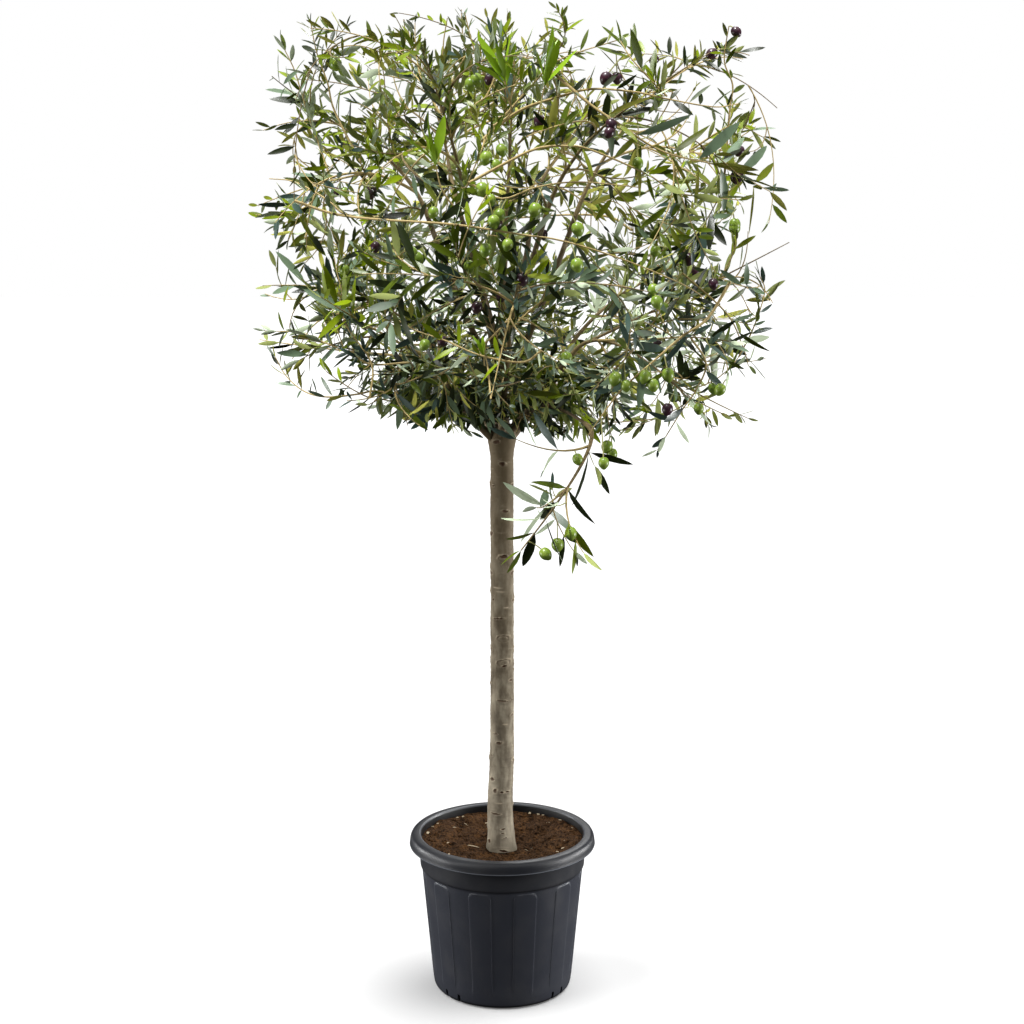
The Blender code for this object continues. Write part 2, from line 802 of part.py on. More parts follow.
def main():
    clear_scene()
    tree = new_collection("potted_olive_tree")
    cutters = new_collection("cutters")
    bark = finish("bark", (0.22, 0.19, 0.14), 0.85)
    leaf = finish("leaf", (0.09, 0.13, 0.05), 0.55)
    fruit = finish("fruit", (0.19, 0.33, 0.03), 0.35)

    make_pot(tree, cutters, finish("pot_plastic", (0.024, 0.026, 0.030), 0.5))
    make_soil(tree, finish("soil", (0.060, 0.032, 0.018), 0.95))

    trunk = trunk_limb()
    leader = leader_limb(trunk)
    low = [low_bough(n, name, 60 * n + 30) for n, name in enumerate(LOW_NAMES)]
    high = [high_bough(n, name, 60 * n) for n, name in enumerate(HIGH_NAMES)]
    hanging = hanging_bough(low[5])
    make_limb(trunk, tree, bark)
    carriers = [(leader, trunk), (hanging, low[5])]
    carriers += [(bough, trunk) for bough in low] + [(bough, leader) for bough in high]
    for bough, carrier in carriers:
        seat_on(make_limb(bough, tree, bark), carrier, cutters)

    limbs = [trunk, leader, hanging, *low, *high]
    masses = foliage_masses(low, high, leader, hanging)
    sites = [mass.site for mass in masses]
    section = triangle_section(cutters)
    finishes = {"bark": bark, "leaf": leaf, "fruit": fruit}
    for mass in masses:
        make_mass(mass, sites, limbs, tree, section, finishes)


main()
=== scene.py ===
"""Potted olive tree: bark, twigs, leaves, olives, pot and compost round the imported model.

Metres, +Z up. The origin is the centre of the pot's flat underside, and the side that is seen
first faces -Y. Every piece stands where the node that it replaces stands. The crown grows by the
same rule as the solids: each mass keeps to its own space and sends each twig to the roomiest
point left in it, here carried on to finer twigs and side shoots that bear leaves at life size.
"""

import functools
import json
import math
import random
from dataclasses import dataclass, field

import bpy
import numpy as np
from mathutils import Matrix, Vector, noise

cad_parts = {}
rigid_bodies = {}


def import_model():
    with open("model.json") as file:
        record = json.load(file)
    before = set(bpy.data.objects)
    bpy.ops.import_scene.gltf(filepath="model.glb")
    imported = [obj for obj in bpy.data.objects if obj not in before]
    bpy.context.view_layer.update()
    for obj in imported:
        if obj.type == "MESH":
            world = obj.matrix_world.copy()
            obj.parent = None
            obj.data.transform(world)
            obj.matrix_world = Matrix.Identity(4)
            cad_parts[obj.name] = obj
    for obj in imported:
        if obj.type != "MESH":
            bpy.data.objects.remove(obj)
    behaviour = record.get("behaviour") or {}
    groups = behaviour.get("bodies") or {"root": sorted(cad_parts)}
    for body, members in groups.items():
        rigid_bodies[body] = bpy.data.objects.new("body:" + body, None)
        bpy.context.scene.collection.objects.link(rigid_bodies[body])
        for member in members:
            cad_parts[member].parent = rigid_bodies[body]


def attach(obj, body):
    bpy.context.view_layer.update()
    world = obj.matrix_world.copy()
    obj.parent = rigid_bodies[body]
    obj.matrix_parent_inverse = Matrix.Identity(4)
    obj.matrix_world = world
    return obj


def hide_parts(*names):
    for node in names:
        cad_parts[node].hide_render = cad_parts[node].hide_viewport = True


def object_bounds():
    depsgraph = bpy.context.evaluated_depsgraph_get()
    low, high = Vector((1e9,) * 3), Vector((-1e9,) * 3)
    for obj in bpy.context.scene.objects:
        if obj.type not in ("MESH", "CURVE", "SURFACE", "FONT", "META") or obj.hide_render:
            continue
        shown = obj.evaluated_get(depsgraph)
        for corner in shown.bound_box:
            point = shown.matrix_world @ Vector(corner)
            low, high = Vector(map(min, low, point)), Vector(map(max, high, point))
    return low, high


bl_info = {
    "name": "Potted olive tree",
    "version": (1, 0, 0),
    "blender": (4, 5, 0),
    "location": "View3D > Sidebar > Olive",
    "description": "Builds a potted olive standard piece by piece round its packed solids",
    "category": "Add Mesh",
}

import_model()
CAD_LOW, CAD_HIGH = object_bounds()

UP = np.array((0.0, 0.0, 1.0))
RGBA = {"data_type": "RGBA"}  # what sets a Mix node to mix colours


def linear(hex_colour):
    """An sRGB hex colour as linear RGBA."""
    parts = [int(hex_colour[i : i + 2], 16) / 255 for i in (0, 2, 4)]
    return (*[c / 12.92 if c <= 0.04045 else ((c + 0.055) / 1.055) ** 2.4 for c in parts], 1.0)


# ---------------- sizes and colours


def length_property(name, description, default):
    return bpy.props.FloatProperty(
        name=name, description=description, default=default, min=0.0, unit="LENGTH", precision=4
    )


def colour_property(name, description, hex_colour):
    return bpy.props.FloatVectorProperty(
        name=name, description=description, default=linear(hex_colour),
        size=4, min=0.0, max=1.0, subtype="COLOR",
    )


class PotSettings(bpy.types.PropertyGroup):
    """The moulded nursery pot."""

    height: length_property("Height", "From the floor to the top of the rim", 0.291)
    rim_radius: length_property("Rim radius", "Outside the rolled rim", 0.170)
    rim_depth: length_property("Rim depth", "Height of the rolled rim", 0.021)
    collar_radius: length_property("Collar radius", "Outside the plain collar", 0.152)
    collar_foot: length_property("Collar foot", "Height where the collar ends", 0.230)
    wall_radius_top: length_property("Wall radius, top", "Outside, under the collar", 0.1480)
    wall_radius_foot: length_property("Wall radius, foot", "Outside, above the foot", 0.1285)
    panel_depth: length_property("Panel depth", "How far every second panel is sunk", 0.0014)
    wall: length_property("Wall", "Thickness of the plastic", 0.0030)
    plastic: colour_property("Plastic", "Colour of the plastic", "2d2f36")
    collar: colour_property("Collar", "Colour of the plastic on the collar", "28292d")
    # Edge: a painted highlight along the panel edges at the sides and back, on the rim's lower lip
    # and on its inner top edge
    edge: colour_property("Edge", "Colour along its worn edges", "82878f")
    # Painted shade: the colour laid all over the inside of the pot, and partly over the rim's outer
    # face
    inside: colour_property("Inside", "Its colour inside, and less so on the rim", "0a0b0d")
    scuff: colour_property("Scuff", "Colour of scuffs and dried dirt", "4a4742")


class SoilSettings(bpy.types.PropertyGroup):
    """The compost in the pot."""

    top: length_property("Top", "Height of the compost at the trunk", 0.258)
    dish: length_property("Dish", "How much higher it stands at the wall", 0.0200)
    lump: length_property("Lump", "Height of the coarsest lumps", 0.0062)
    peat: colour_property("Peat", "Colour of most of the compost", "533b26")
    rust: colour_property("Rust", "Colour of the redder fibre", "73502e")
    # Dark: the colour of the painted shade in the compost's hollows and between its crumbs
    dark: colour_property("Dark", "Colour in the hollows", "150e0a")
    chip: colour_property("Chip", "Colour of the pale wood chips", "e0cfae")
    old_chip: colour_property("Old chip", "Colour of their weathered parts", "a9855c")


class BarkSettings(bpy.types.PropertyGroup):
    """Trunk and boughs."""

    relief: length_property("Relief", "Height of the wrinkles", 0.0006)
    scar: length_property("Scar", "Height of the scars that side shoots left", 0.0016)
    bark: colour_property("Bark", "Colour of the smooth bark", "655b4a")
    pale: colour_property("Pale", "Colour of its paler patches", "8f8673")
    shade: colour_property("Shade", "Colour of its darker patches", "3f3629")
    # Foot and head: painted light paling the bark near the ground, and painted shade darkening it
    # towards the head, where the crown shades it
    foot: colour_property("Foot", "Colour of the bark near the ground", "a9a292")
    head: colour_property("Head", "Colour of the bark at the head of the trunk", "53462f")
    rim: colour_property("Rim", "Colour of the scars' rims and of cracks", "b3a48c")
    wound: colour_property("Wound", "Colour inside the scars", "402817")
    young: colour_property("Young wood", "Colour of two year old twigs", "7d6b44")
    tan: colour_property("Tan wood", "Colour of last year's twigs", "ab965f")
    green: colour_property("Green wood", "Colour of this year's shoots", "8f9454")


class FoliageSettings(bpy.types.PropertyGroup):
    """Leaves and the twigs that bear them."""

    leaf_length: length_property("Leaf length", "Length of a middling leaf", 0.047)
    leaf_width: length_property("Leaf width", "Width of a middling leaf", 0.0094)
    leaf_thickness: length_property("Leaf thickness", "Thickness along the midrib", 0.0007)
    leaf_spacing: length_property("Leaf spacing", "Between pairs of leaves on a twig", 0.0154)
    deep: colour_property("Deep green", "Upper side, oldest leaves", "1b2506")
    olive: colour_property("Olive green", "Upper side", "475606")
    fresh: colour_property("Fresh green", "Upper side, this year's leaves", "728409")
    dull: colour_property("Dull green", "Upper side, dusty leaves", "68721c")
    grey: colour_property("Grey green", "Upper side, with a bloom", "63775c")
    blue: colour_property("Blue green", "Upper side, shaded leaves", "33473e")
    lime: colour_property("Lime", "Both sides of new leaves", "7c9c1c")
    silver: colour_property("Silver", "Underside", "b6c3a6")
    ash: colour_property("Ash", "Underside, older leaves", "8a9356")
    straw: colour_property("Straw", "Underside, with yellow hairs", "a0a04a")


class FruitSettings(bpy.types.PropertyGroup):
    """Olives."""

    length: length_property("Length", "Length of an olive", 0.0225)
    width: length_property("Width", "Width of an olive", 0.0190)
    unripe: colour_property("Unripe", "Colour of green olives", "6a8626")
    turning: colour_property("Turning", "Colour of the palest green olives", "97a84a")
    ripe: colour_property("Ripe", "Colour of purple black olives", "2f1a26")
    ripening: colour_property("Ripening", "Their redder parts", "4a2433")
    dot: colour_property("Dot", "Colour of the small dots on the skin", "c9cf9a")


class StageSettings(bpy.types.PropertyGroup):
    """Floor, light and camera."""

    floor: colour_property("Floor", "Colour of the floor", "d6d6d6")
    camera: bpy.props.FloatVectorProperty(
        name="Camera",
        description="Where the camera stands",
        default=(0.0178, -3.2, 1.467),
        size=3,
        subtype="XYZ",
        unit="LENGTH",
    )
    pitch: bpy.props.FloatProperty(
        name="Pitch",
        description="How far the camera looks down",
        default=math.radians(10.29),
        subtype="ANGLE",
        unit="ROTATION",
    )
    lens: bpy.props.FloatProperty(
        name="Lens", description="Focal length on a 36 mm sensor", default=64.3, unit="CAMERA"
    )


SETTINGS = {
    "olive_pot": PotSettings,
    "olive_soil": SoilSettings,
    "olive_bark": BarkSettings,
    "olive_foliage": FoliageSettings,
    "olive_fruit": FruitSettings,
    "olive_stage": StageSettings,
}


# ---------------- shared helpers


def deselect():
    """Leaves nothing selected, since an operator acts on all that is."""
    if bpy.context.object and bpy.context.object.mode != "OBJECT":
        bpy.ops.object.mode_set(mode="OBJECT")
    bpy.ops.object.select_all(action="DESELECT")


def select_only(obj):
    deselect()
    obj.select_set(True)
    bpy.context.view_layer.objects.active = obj


def edit_all():
    """Opens the active mesh for editing, with all of it selected."""
    bpy.ops.object.mode_set(mode="EDIT")
    bpy.ops.mesh.select_all(action="SELECT")


def apply_all(obj):
    """Applies the object's modifiers and its place."""
    select_only(obj)
    for modifier in list(obj.modifiers):
        bpy.ops.object.modifier_apply(modifier=modifier.name)
    bpy.ops.object.transform_apply(location=True, rotation=True, scale=True)


def shade(obj, degrees):
    select_only(obj)
    bpy.ops.object.shade_smooth_by_angle(angle=math.radians(degrees))


def settle(obj, name, slot, *nodes):
    """Names a finished piece, has it ride on the tree and stand for its nodes."""
    obj.name = obj.data.name = name
    deselect()
    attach(obj, "root")
    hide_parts(*nodes)
    return obj


def mesh_piece(name, points, faces, materials, picks=None):
    """A piece from arrays of points and of triangles, with a material number for each face."""
    mesh = bpy.data.meshes.new(name)
    mesh.from_pydata(points.tolist(), [], faces.tolist())
    for material in materials:
        mesh.materials.append(material)
    if picks is not None:
        mesh.polygons.foreach_set("material_index", np.asarray(picks, np.int32))
    mesh.update()
    obj = bpy.data.objects.new(name, mesh)
    bpy.context.scene.collection.objects.link(obj)
    return obj


def joined(parts):
    """The points and triangles of many parts as those of one mesh."""
    starts = np.cumsum([0, *[len(points) for points, _ in parts]])
    faces = [faces + start for (_, faces), start in zip(parts, starts)]
    return np.concatenate([points for points, _ in parts]), np.concatenate(faces)


def turned(points, angle):
    """The points, turned anticlockwise about Z."""
    c, s = math.cos(angle), math.sin(angle)
    return points @ np.array(((c, s, 0), (-s, c, 0), (0, 0, 1)))


def read_points(mesh):
    points = np.empty(len(mesh.vertices) * 3)
    mesh.vertices.foreach_get("co", points)
    return points.reshape(-1, 3)


def write_points(mesh, points):
    mesh.vertices.foreach_set("co", np.asarray(points, np.float32).ravel())
    mesh.update()


def taken_apart(obj):
    """The points and triangles of an object, which is then removed."""
    points = read_points(obj.data)
    faces = np.array([face.vertices[:] for face in obj.data.polygons])
    bpy.data.objects.remove(obj)
    return points, faces


def store(mesh, name, values):
    """A number for each vertex, which the piece's material reads."""
    attribute = mesh.attributes.new(name, "FLOAT", "POINT")
    attribute.data.foreach_set("value", np.asarray(values, np.float32))


def roughened(points, size, octaves=3):
    """Noise at the points, from about -1 to 1, whose coarsest lumps are this size."""
    scaled = (points / size).tolist()
    return np.array([noise.fractal(Vector(p), 0.9, 2.1, octaves) for p in scaled])


def smoothstep(value, low, high):
    share = np.clip((value - low) / (high - low), 0.0, 1.0)
    return share * share * (3 - 2 * share)


def bell(value, middle, width):
    """1 at the middle, falling away smoothly to either side over about this width."""
    return np.exp(-(((value - middle) / width) ** 2))


def unit(vectors):
    return vectors / np.maximum(np.linalg.norm(vectors, axis=-1, keepdims=True), 1e-9)


def spun(points, steps):
    """A closed shell turned round the Z axis from a chain of (radius, height) points."""
    deselect()
    bpy.ops.mesh.primitive_plane_add(size=0.01)
    obj = bpy.context.object
    bpy.ops.object.mode_set(mode="EDIT")
    bpy.ops.mesh.merge(type="CENTER")
    bpy.ops.transform.translate(value=(points[0][0], 0.0, points[0][1]))
    for (radius, height), (next_radius, next_height) in zip(points, points[1:]):
        step = (next_radius - radius, 0.0, next_height - height)
        bpy.ops.mesh.extrude_region_move(TRANSFORM_OT_translate={"value": step})
    bpy.ops.mesh.select_all(action="SELECT")
    bpy.ops.mesh.spin(steps=steps, angle=2 * math.pi, center=(0, 0, 0), axis=(0, 0, 1))
    bpy.ops.mesh.select_all(action="SELECT")
    bpy.ops.mesh.remove_doubles(threshold=1e-5)
    bpy.ops.mesh.normals_make_consistent(inside=False)
    bpy.ops.object.mode_set(mode="OBJECT")
    return obj


def fill(node, **inputs):
    """Sets a node's inputs to values, or links them to other nodes or their sockets.

    An input goes by its name, with _ for a space, or by _ and its number. A node stands for the
    first of its results.
    """
    for key, value in inputs.items():
        name = key.replace("_", " ")
        named = [socket for socket in node.inputs if socket.enabled and socket.name == name]
        socket = named[0] if named else node.inputs[int(key[1:])]
        if isinstance(value, bpy.types.Node):
            value = next(result for result in value.outputs if result.enabled)
        if isinstance(value, bpy.types.NodeSocket):
            node.id_data.links.new(value, socket)
        else:
            socket.default_value = value


def add_node(tree, kind, settings=None, **inputs):
    """Adds a node with its settings and its inputs."""
    node = tree.nodes.new(f"ShaderNode{kind}")
    for key, value in (settings or {}).items():
        setattr(node, key, value)
    fill(node, **inputs)
    return node


def new_material(name, **inputs):
    """A material with its Principled shader: (material, node tree, shader, object coordinates)."""
    material = bpy.data.materials.new(name)
    material.use_nodes = True
    tree = material.node_tree
    shader = tree.nodes["Principled BSDF"]
    fill(shader, **inputs)
    return material, tree, shader, add_node(tree, "TexCoord").outputs["Object"]


# ---------------- pot

PANELS = 22
PANEL_STEPS = 12
PANEL_TURN = math.radians(8.56)  # from the front to the left edge of a raised panel
PANEL_FOOT = 0.020
PANEL_TOP = 0.2245
CROWDING = 2.2  # how closely the columns of faces stand along an edge between two panels
EDGE_WIDTH = 0.0007
PANEL_CORNER = 0.011  # radius of a raised panel's upper corners
PANEL_HIGHLIGHT = 0.24  # how pale a highlight is painted along the panels' edges at the sides and back
HIGHLIGHT_STARTS, HIGHLIGHT_ENDS = math.radians(22), math.radians(55)  # from the front, where the painted highlight sets in
LIP_HIGHLIGHT, LEDGE_HIGHLIGHT = 0.60, 0.22  # the same painted highlight on the rim's lower lip and on its inner top edge
RIM_PAINTED_SHADE = 0.60  # how much of the painted shade inside the pot also darkens the rim's outer face
DRAIN_AZIMUTHS = (46, 58, 126, 138, 222, 234, 308, 322)  # degrees from the front, in pairs
DRAIN_SPOT = (0.127, 0.0045)  # the middle of each slot, out from the axis and up
DRAIN_SIZE = (0.026, 0.006, 0.0250)  # of the block that cuts it


def pot_wall(pot, height):
    share = (height - PANEL_FOOT) / (pot.collar_foot - PANEL_FOOT)
    return pot.wall_radius_foot + (pot.wall_radius_top - pot.wall_radius_foot) * share


def pot_inside(pot, height):
    """The radius of the inner wall: tapering up to the collar, and straight inside it."""
    straight = pot.collar_radius - pot.wall
    return min(straight, pot_wall(pot, height) - pot.wall - max(0.0, 0.0018 - height * 0.002))


def pot_profile(pot):
    """From the middle of the floor inside, up the inner wall, over the rim and down outside."""
    top, lip = pot.height, pot.height - pot.rim_depth
    rim, collar = pot.rim_radius, pot.collar_radius
    straight = collar - pot.wall
    points = [(0.0, 0.003), (0.060, 0.003), (0.1205, 0.003), (pot_inside(pot, 0.006), 0.006)]
    points += [(pot_inside(pot, h), h) for h in (0.08, 0.16, pot.collar_foot)]
    points += [
        (straight - 0.0006, pot.collar_foot + 0.018), (straight, pot.collar_foot + 0.030),
        (straight, lip + 0.008), (straight + 0.0001, top - 0.0040),
        (straight + 0.0004, top - 0.0020), (straight + 0.0011, top - 0.0007),
        (straight + 0.0022, top - 0.0001), (straight + 0.0040, top), (rim - 0.0130, top),
        (rim - 0.0085, top - 0.0003), (rim - 0.0060, top - 0.0013), (rim - 0.0038, top - 0.0034),
        (rim - 0.0022, top - 0.0064), (rim - 0.0012, top - 0.0100), (rim - 0.0007, top - 0.0140),
        (rim - 0.0005, lip + 0.0040), (rim - 0.0001, lip + 0.0026), (rim, lip + 0.0014),
        (rim - 0.0004, lip + 0.0004), (rim - 0.0014, lip), (rim - 0.0026, lip + 0.0004),
        (rim - 0.0032, lip + 0.0020), (collar + 0.0016, lip + 0.0016),
        (collar + 0.0004, lip - 0.0005), (collar, lip - 0.0040),
        (collar - 0.0012, pot.collar_foot + 0.0060), (collar - 0.0016, pot.collar_foot + 0.0022),
        (collar - 0.0024, pot.collar_foot + 0.0006),
        (pot_wall(pot, pot.collar_foot) + 0.0004, pot.collar_foot - 0.0004),
    ]
    heights = [PANEL_TOP + 0.0022, PANEL_TOP + 0.0012]
    heights += [PANEL_TOP + 0.0008 - 0.0004 * n for n in range(5)]
    heights += [PANEL_TOP - 0.0014 - 0.0011 * n for n in range(10)]
    heights += np.linspace(heights[-1] - 0.006, PANEL_FOOT + 0.014, 15).tolist()
    heights += [PANEL_FOOT + 0.012 - 0.0015 * n for n in range(9)]
    points += [(pot_wall(pot, h), h) for h in heights]
    points += [(0.1275, 0.0130), (0.1268, 0.0080), (0.1255, 0.0045), (0.1232, 0.0018)]
    points += [(0.1200, 0.0002), (0.1185, 0.0), (0.1165, 0.0), (0.1150, 0.0015), (0.060, 0.0015)]
    return points + [(0.0, 0.0015)]


def crowd_columns(points):
    """Turns each column of points about the axis towards the nearest edge between two panels."""
    panel = 2 * math.pi / PANELS
    turns = (np.arctan2(points[:, 0], -points[:, 1]) - PANEL_TURN) / panel
    nearest = np.round(turns)
    away = 2 * (turns - nearest)
    crowded = nearest + np.sign(away) * np.abs(away) ** CROWDING / 2
    azimuth, radius = crowded * panel + PANEL_TURN, np.hypot(points[:, 0], points[:, 1])
    points[:, 0], points[:, 1] = radius * np.sin(azimuth), -radius * np.cos(azimuth)


def panel_distance(pot, azimuth, height):
    """How far a point lies outside the nearest raised panel, which has rounded upper corners."""
    panel = 2 * math.pi / PANELS
    radius = pot_wall(pot, height)
    turn = np.mod((azimuth - PANEL_TURN) / panel, 2.0)
    half = panel * radius / 2
    across = np.abs((turn - 0.5) - np.where(turn > 1.5, 2.0, 0.0)) * panel * radius
    over = np.maximum(height - (PANEL_TOP - PANEL_CORNER), 0.0)
    aside = np.maximum(across - (half - PANEL_CORNER), 0.0)
    rounded = np.hypot(over, aside) - PANEL_CORNER
    square = np.maximum(across - half, height - PANEL_TOP)
    return np.where((over > 0) & (aside > 0), rounded, square)


def press_panels(pot, mesh):
    """Sinks every second panel, and stores where highlights are painted along edges, where the
    collar is darker, and where shade is painted inside the pot and on its rim.
    """
    points = read_points(mesh)
    crowd_columns(points)
    radius = np.hypot(points[:, 0], points[:, 1])
    azimuth = np.arctan2(points[:, 0], -points[:, 1])
    height = points[:, 2]
    wall = (np.abs(radius - pot_wall(pot, height)) < 2e-5) & (height < pot.collar_foot - 0.001)
    fade = smoothstep(height, PANEL_FOOT, PANEL_FOOT + 0.030) * wall
    distance = panel_distance(pot, azimuth, height)
    sunk = pot.panel_depth * smoothstep(distance, -EDGE_WIDTH, EDGE_WIDTH) * fade
    points[:, :2] *= (1 - sunk / np.maximum(radius, 1e-6))[:, None]
    write_points(mesh, points)
    # Painted highlight: none on the panels' edges at the front, more towards the sides and back,
    # and on the rim's lip and inner top edge
    wear_and_highlight = PANEL_HIGHLIGHT * smoothstep(np.abs(azimuth), HIGHLIGHT_STARTS, HIGHLIGHT_ENDS)
    edge = wear_and_highlight * bell(distance, 0.0, 1.6 * EDGE_WIDTH) * fade
    lip = pot.height - pot.rim_depth
    edge += LIP_HIGHLIGHT * (radius > pot.rim_radius - 0.0005) * (height < lip + 0.0020)
    straight = pot.collar_radius - pot.wall
    ledge = (radius < straight + 0.0030) & (height > pot.height - 0.0022)
    store(mesh, "edge", edge + LEDGE_HIGHLIGHT * ledge)
    collar = smoothstep(height, pot.collar_foot - 0.003, pot.collar_foot)
    collar = collar * (radius < pot.collar_radius + 0.0015)
    store(mesh, "collar", collar * (radius > pot.collar_radius - 0.0026))
    # Painted shade: all of the inside of the pot, and part of that colour on the rim's outer face
    tapering = height < pot.collar_foot
    inner_skin = np.where(tapering, pot_wall(pot, height) - pot.wall / 2, straight + 0.0010)
    rim = radius > pot.collar_radius + 0.0010
    store(mesh, "inside", (radius < inner_skin) + RIM_PAINTED_SHADE * rim)


def cut_drains(pot_object):
    """Cuts the slots across the bottom corner, each cutter a bevelled block."""
    for azimuth in DRAIN_AZIMUTHS:
        deselect()
        turn = math.radians(azimuth - 90)
        out, up = DRAIN_SPOT
        place = (out * math.cos(turn), out * math.sin(turn), up)
        bpy.ops.mesh.primitive_cube_add(size=1.0, location=place, rotation=(0, 0, turn))
        cutter = bpy.context.object
        cutter.scale = DRAIN_SIZE
        bpy.ops.object.transform_apply(location=False, rotation=False, scale=True)
        edit_all()
        bpy.ops.mesh.bevel(offset=0.0012, segments=2)
        bpy.ops.object.mode_set(mode="OBJECT")
        cut = pot_object.modifiers.new("Drain", "BOOLEAN")
        cut.operation = "DIFFERENCE"
        cut.solver = "EXACT"
        cut.object = cutter
        select_only(pot_object)
        bpy.ops.object.modifier_apply(modifier=cut.name)
        bpy.data.objects.remove(cutter)


def moulded_polypropylene(pot):
    """Injection moulded polypropylene: satin, with a faint grain, dull scuffs and dried dirt,
    painted highlights along its edges, and painted shade inside it and on its rim.
    """
    material, tree, shader, place = new_material(
        "Moulded polypropylene", IOR=1.49, Specular_IOR_Level=0.35
    )
    grain = add_node(tree, "TexNoise", Vector=place, Scale=2600.0, Detail=2.0)  # 0.4 mm grain
    cloud = add_node(tree, "TexNoise", Vector=place, Scale=22.0, Detail=4.0)
    low = add_node(tree, "SeparateXYZ", Vector=place).outputs["Z"]
    near_foot = add_node(tree, "MapRange", Value=low, From_Min=0.11, From_Max=0.005)
    flat = add_node(tree, "Mapping", Vector=place, Scale=(1.0, 1.0, 0.25))
    scratch = add_node(tree, "TexNoise", Vector=flat, Scale=420.0, Detail=5.0, Roughness=0.7)
    speck = add_node(tree, "MapRange", Value=scratch, From_Min=0.66, From_Max=0.74)
    dirt = add_node(tree, "Math", {"operation": "MULTIPLY"}, _0=speck, _1=near_foot)
    wear_and_highlight = add_node(tree, "MapRange", Value=cloud, From_Min=0.45, From_Max=0.75, To_Max=0.12)
    scuffed = add_node(tree, "Math", {"operation": "ADD"}, _0=dirt, _1=wear_and_highlight)
    edge, collar, inside = [
        add_node(tree, "Attribute", {"attribute_name": name}).outputs["Fac"]
        for name in ("edge", "collar", "inside")
    ]
    # The inside layer is painted shade, and the edge layer is a painted highlight
    layers = (collar, pot.collar), (inside, pot.inside), (edge, pot.edge), (scuffed, pot.scuff)
    colour = pot.plastic
    for share, over in layers:
        colour = add_node(tree, "Mix", RGBA, Factor=share, A=colour, B=over)
    dull = add_node(
        tree, "MapRange", Value=cloud, From_Min=0.3, From_Max=0.7, To_Min=0.36, To_Max=0.50
    )
    bump = add_node(tree, "Bump", Height=grain, Distance=0.0002, Strength=0.35)
    fill(shader, Base_Color=colour, Roughness=dull, Normal=bump)
    return material


class OLIVE_OT_pot(bpy.types.Operator):
    """Turn the pot, press its panels, cut its drain slots and give it its plastic"""

    bl_idname = "olive.pot"
    bl_label = "Pot"

    def execute(self, context):
        pot = context.scene.olive_pot
        shell = spun(pot_profile(pot), PANELS * PANEL_STEPS)
        press_panels(pot, shell.data)
        cut_drains(shell)
        shade(shell, 32)
        shell.data.materials.append(moulded_polypropylene(pot))
        settle(shell, "pot_shell", "pot_plastic", "pot")
        return {"FINISHED"}


# ---------------- compost

SOIL_FLAT = 0.045  # radius of the level part round the trunk
CRUMBS = 760


def peat_compost(soil):
    """Peat compost: crumbly and matt, with painted shade in its hollows and between its crumbs, and
    redder strands of fibre.
    """
    material, tree, shader, place = new_material(
        "Peat compost", Roughness=0.95, Specular_IOR_Level=0.10
    )
    crumbs = add_node(tree, "TexNoise", Vector=place, Scale=260.0, Detail=6.0, Roughness=0.68)
    patches = add_node(tree, "TexNoise", Vector=place, Scale=38.0, Detail=3.0, Roughness=0.55)
    hollow = add_node(tree, "Attribute", {"attribute_name": "hollow"}).outputs["Fac"]
    rusty = add_node(
        tree, "MapRange", Value=patches, From_Min=0.50, From_Max=0.66, To_Max=0.60
    )
    # Painted shade between the crumbs, where the bump is low, and in the hollows between the lumps
    gap_shade = add_node(tree, "MapRange", Value=crumbs, From_Min=0.56, From_Max=0.38, To_Max=0.95)
    colour = soil.peat
    for share, over in ((rusty, soil.rust), (gap_shade, soil.dark), (hollow, soil.dark)):
        colour = add_node(tree, "Mix", RGBA, Factor=share, A=colour, B=over)
    bump = add_node(tree, "Bump", Height=crumbs, Distance=0.0025, Strength=0.9)
    fill(shader, Base_Color=colour, Normal=bump)
    return material


def wood_chip(soil):
    """Split wood chips: pale, fibrous along their length, with a dull cut face."""
    material, tree, shader, place = new_material("Wood chip", Roughness=0.8)
    fibre = add_node(tree, "TexNoise", Vector=place, Scale=900.0, Detail=2.0)
    share = add_node(tree, "MapRange", Value=fibre, From_Min=0.45, From_Max=0.75, To_Max=0.7)
    colour = add_node(tree, "Mix", RGBA, Factor=share, A=soil.chip, B=soil.old_chip)
    bump = add_node(tree, "Bump", Height=fibre, Distance=0.0006, Strength=0.5)
    fill(shader, Base_Color=colour, Normal=bump)
    return material


def soil_height(soil, points, edge):
    """The compost's height: a dish up to the wall, a low mound at the trunk, and lumps."""
    flat = points * (1, 1, 0)
    radius = np.hypot(flat[:, 0], flat[:, 1])
    lumps = roughened(flat, 0.034, 3) + roughened(flat + 7.0, 0.009, 3) * 0.45
    calm = 1 - 0.5 * smoothstep(radius, edge - 0.018, edge)
    dish = soil.dish * smoothstep(radius, SOIL_FLAT, edge + 0.001)
    mound = 0.003 * bell(radius, 0.0, SOIL_FLAT)
    relief = np.clip(lumps * soil.lump * calm, -0.010, 0.009)
    return soil.top - 0.0022 + dish + mound + relief, lumps


def make_soil_top(soil, edge):
    """The compost as one closed body, from the pot's floor up its inner wall to the lumpy top."""
    rings = np.linspace(edge, 0.0, 90)
    chain = [(0.0, 0.0033), (edge * 0.60, 0.0034), (edge * 0.80, 0.05), (edge * 0.87, 0.14)]
    chain += [(edge * 0.93, 0.215), (edge - 0.001, soil.top)]
    chain += [(float(r), soil.top + 0.008) for r in rings]
    body = spun(chain, 200)
    points = read_points(body.data)
    top = points[:, 2] > soil.top + 0.004
    heights, lumps = soil_height(soil, points, edge)
    points[top, 2] = heights[top]
    write_points(body.data, points)
    # Painted shade where the lumps are lowest
    store(body.data, "hollow", smoothstep(-lumps, 0.25, 0.95) * 0.8 * top)
    return body


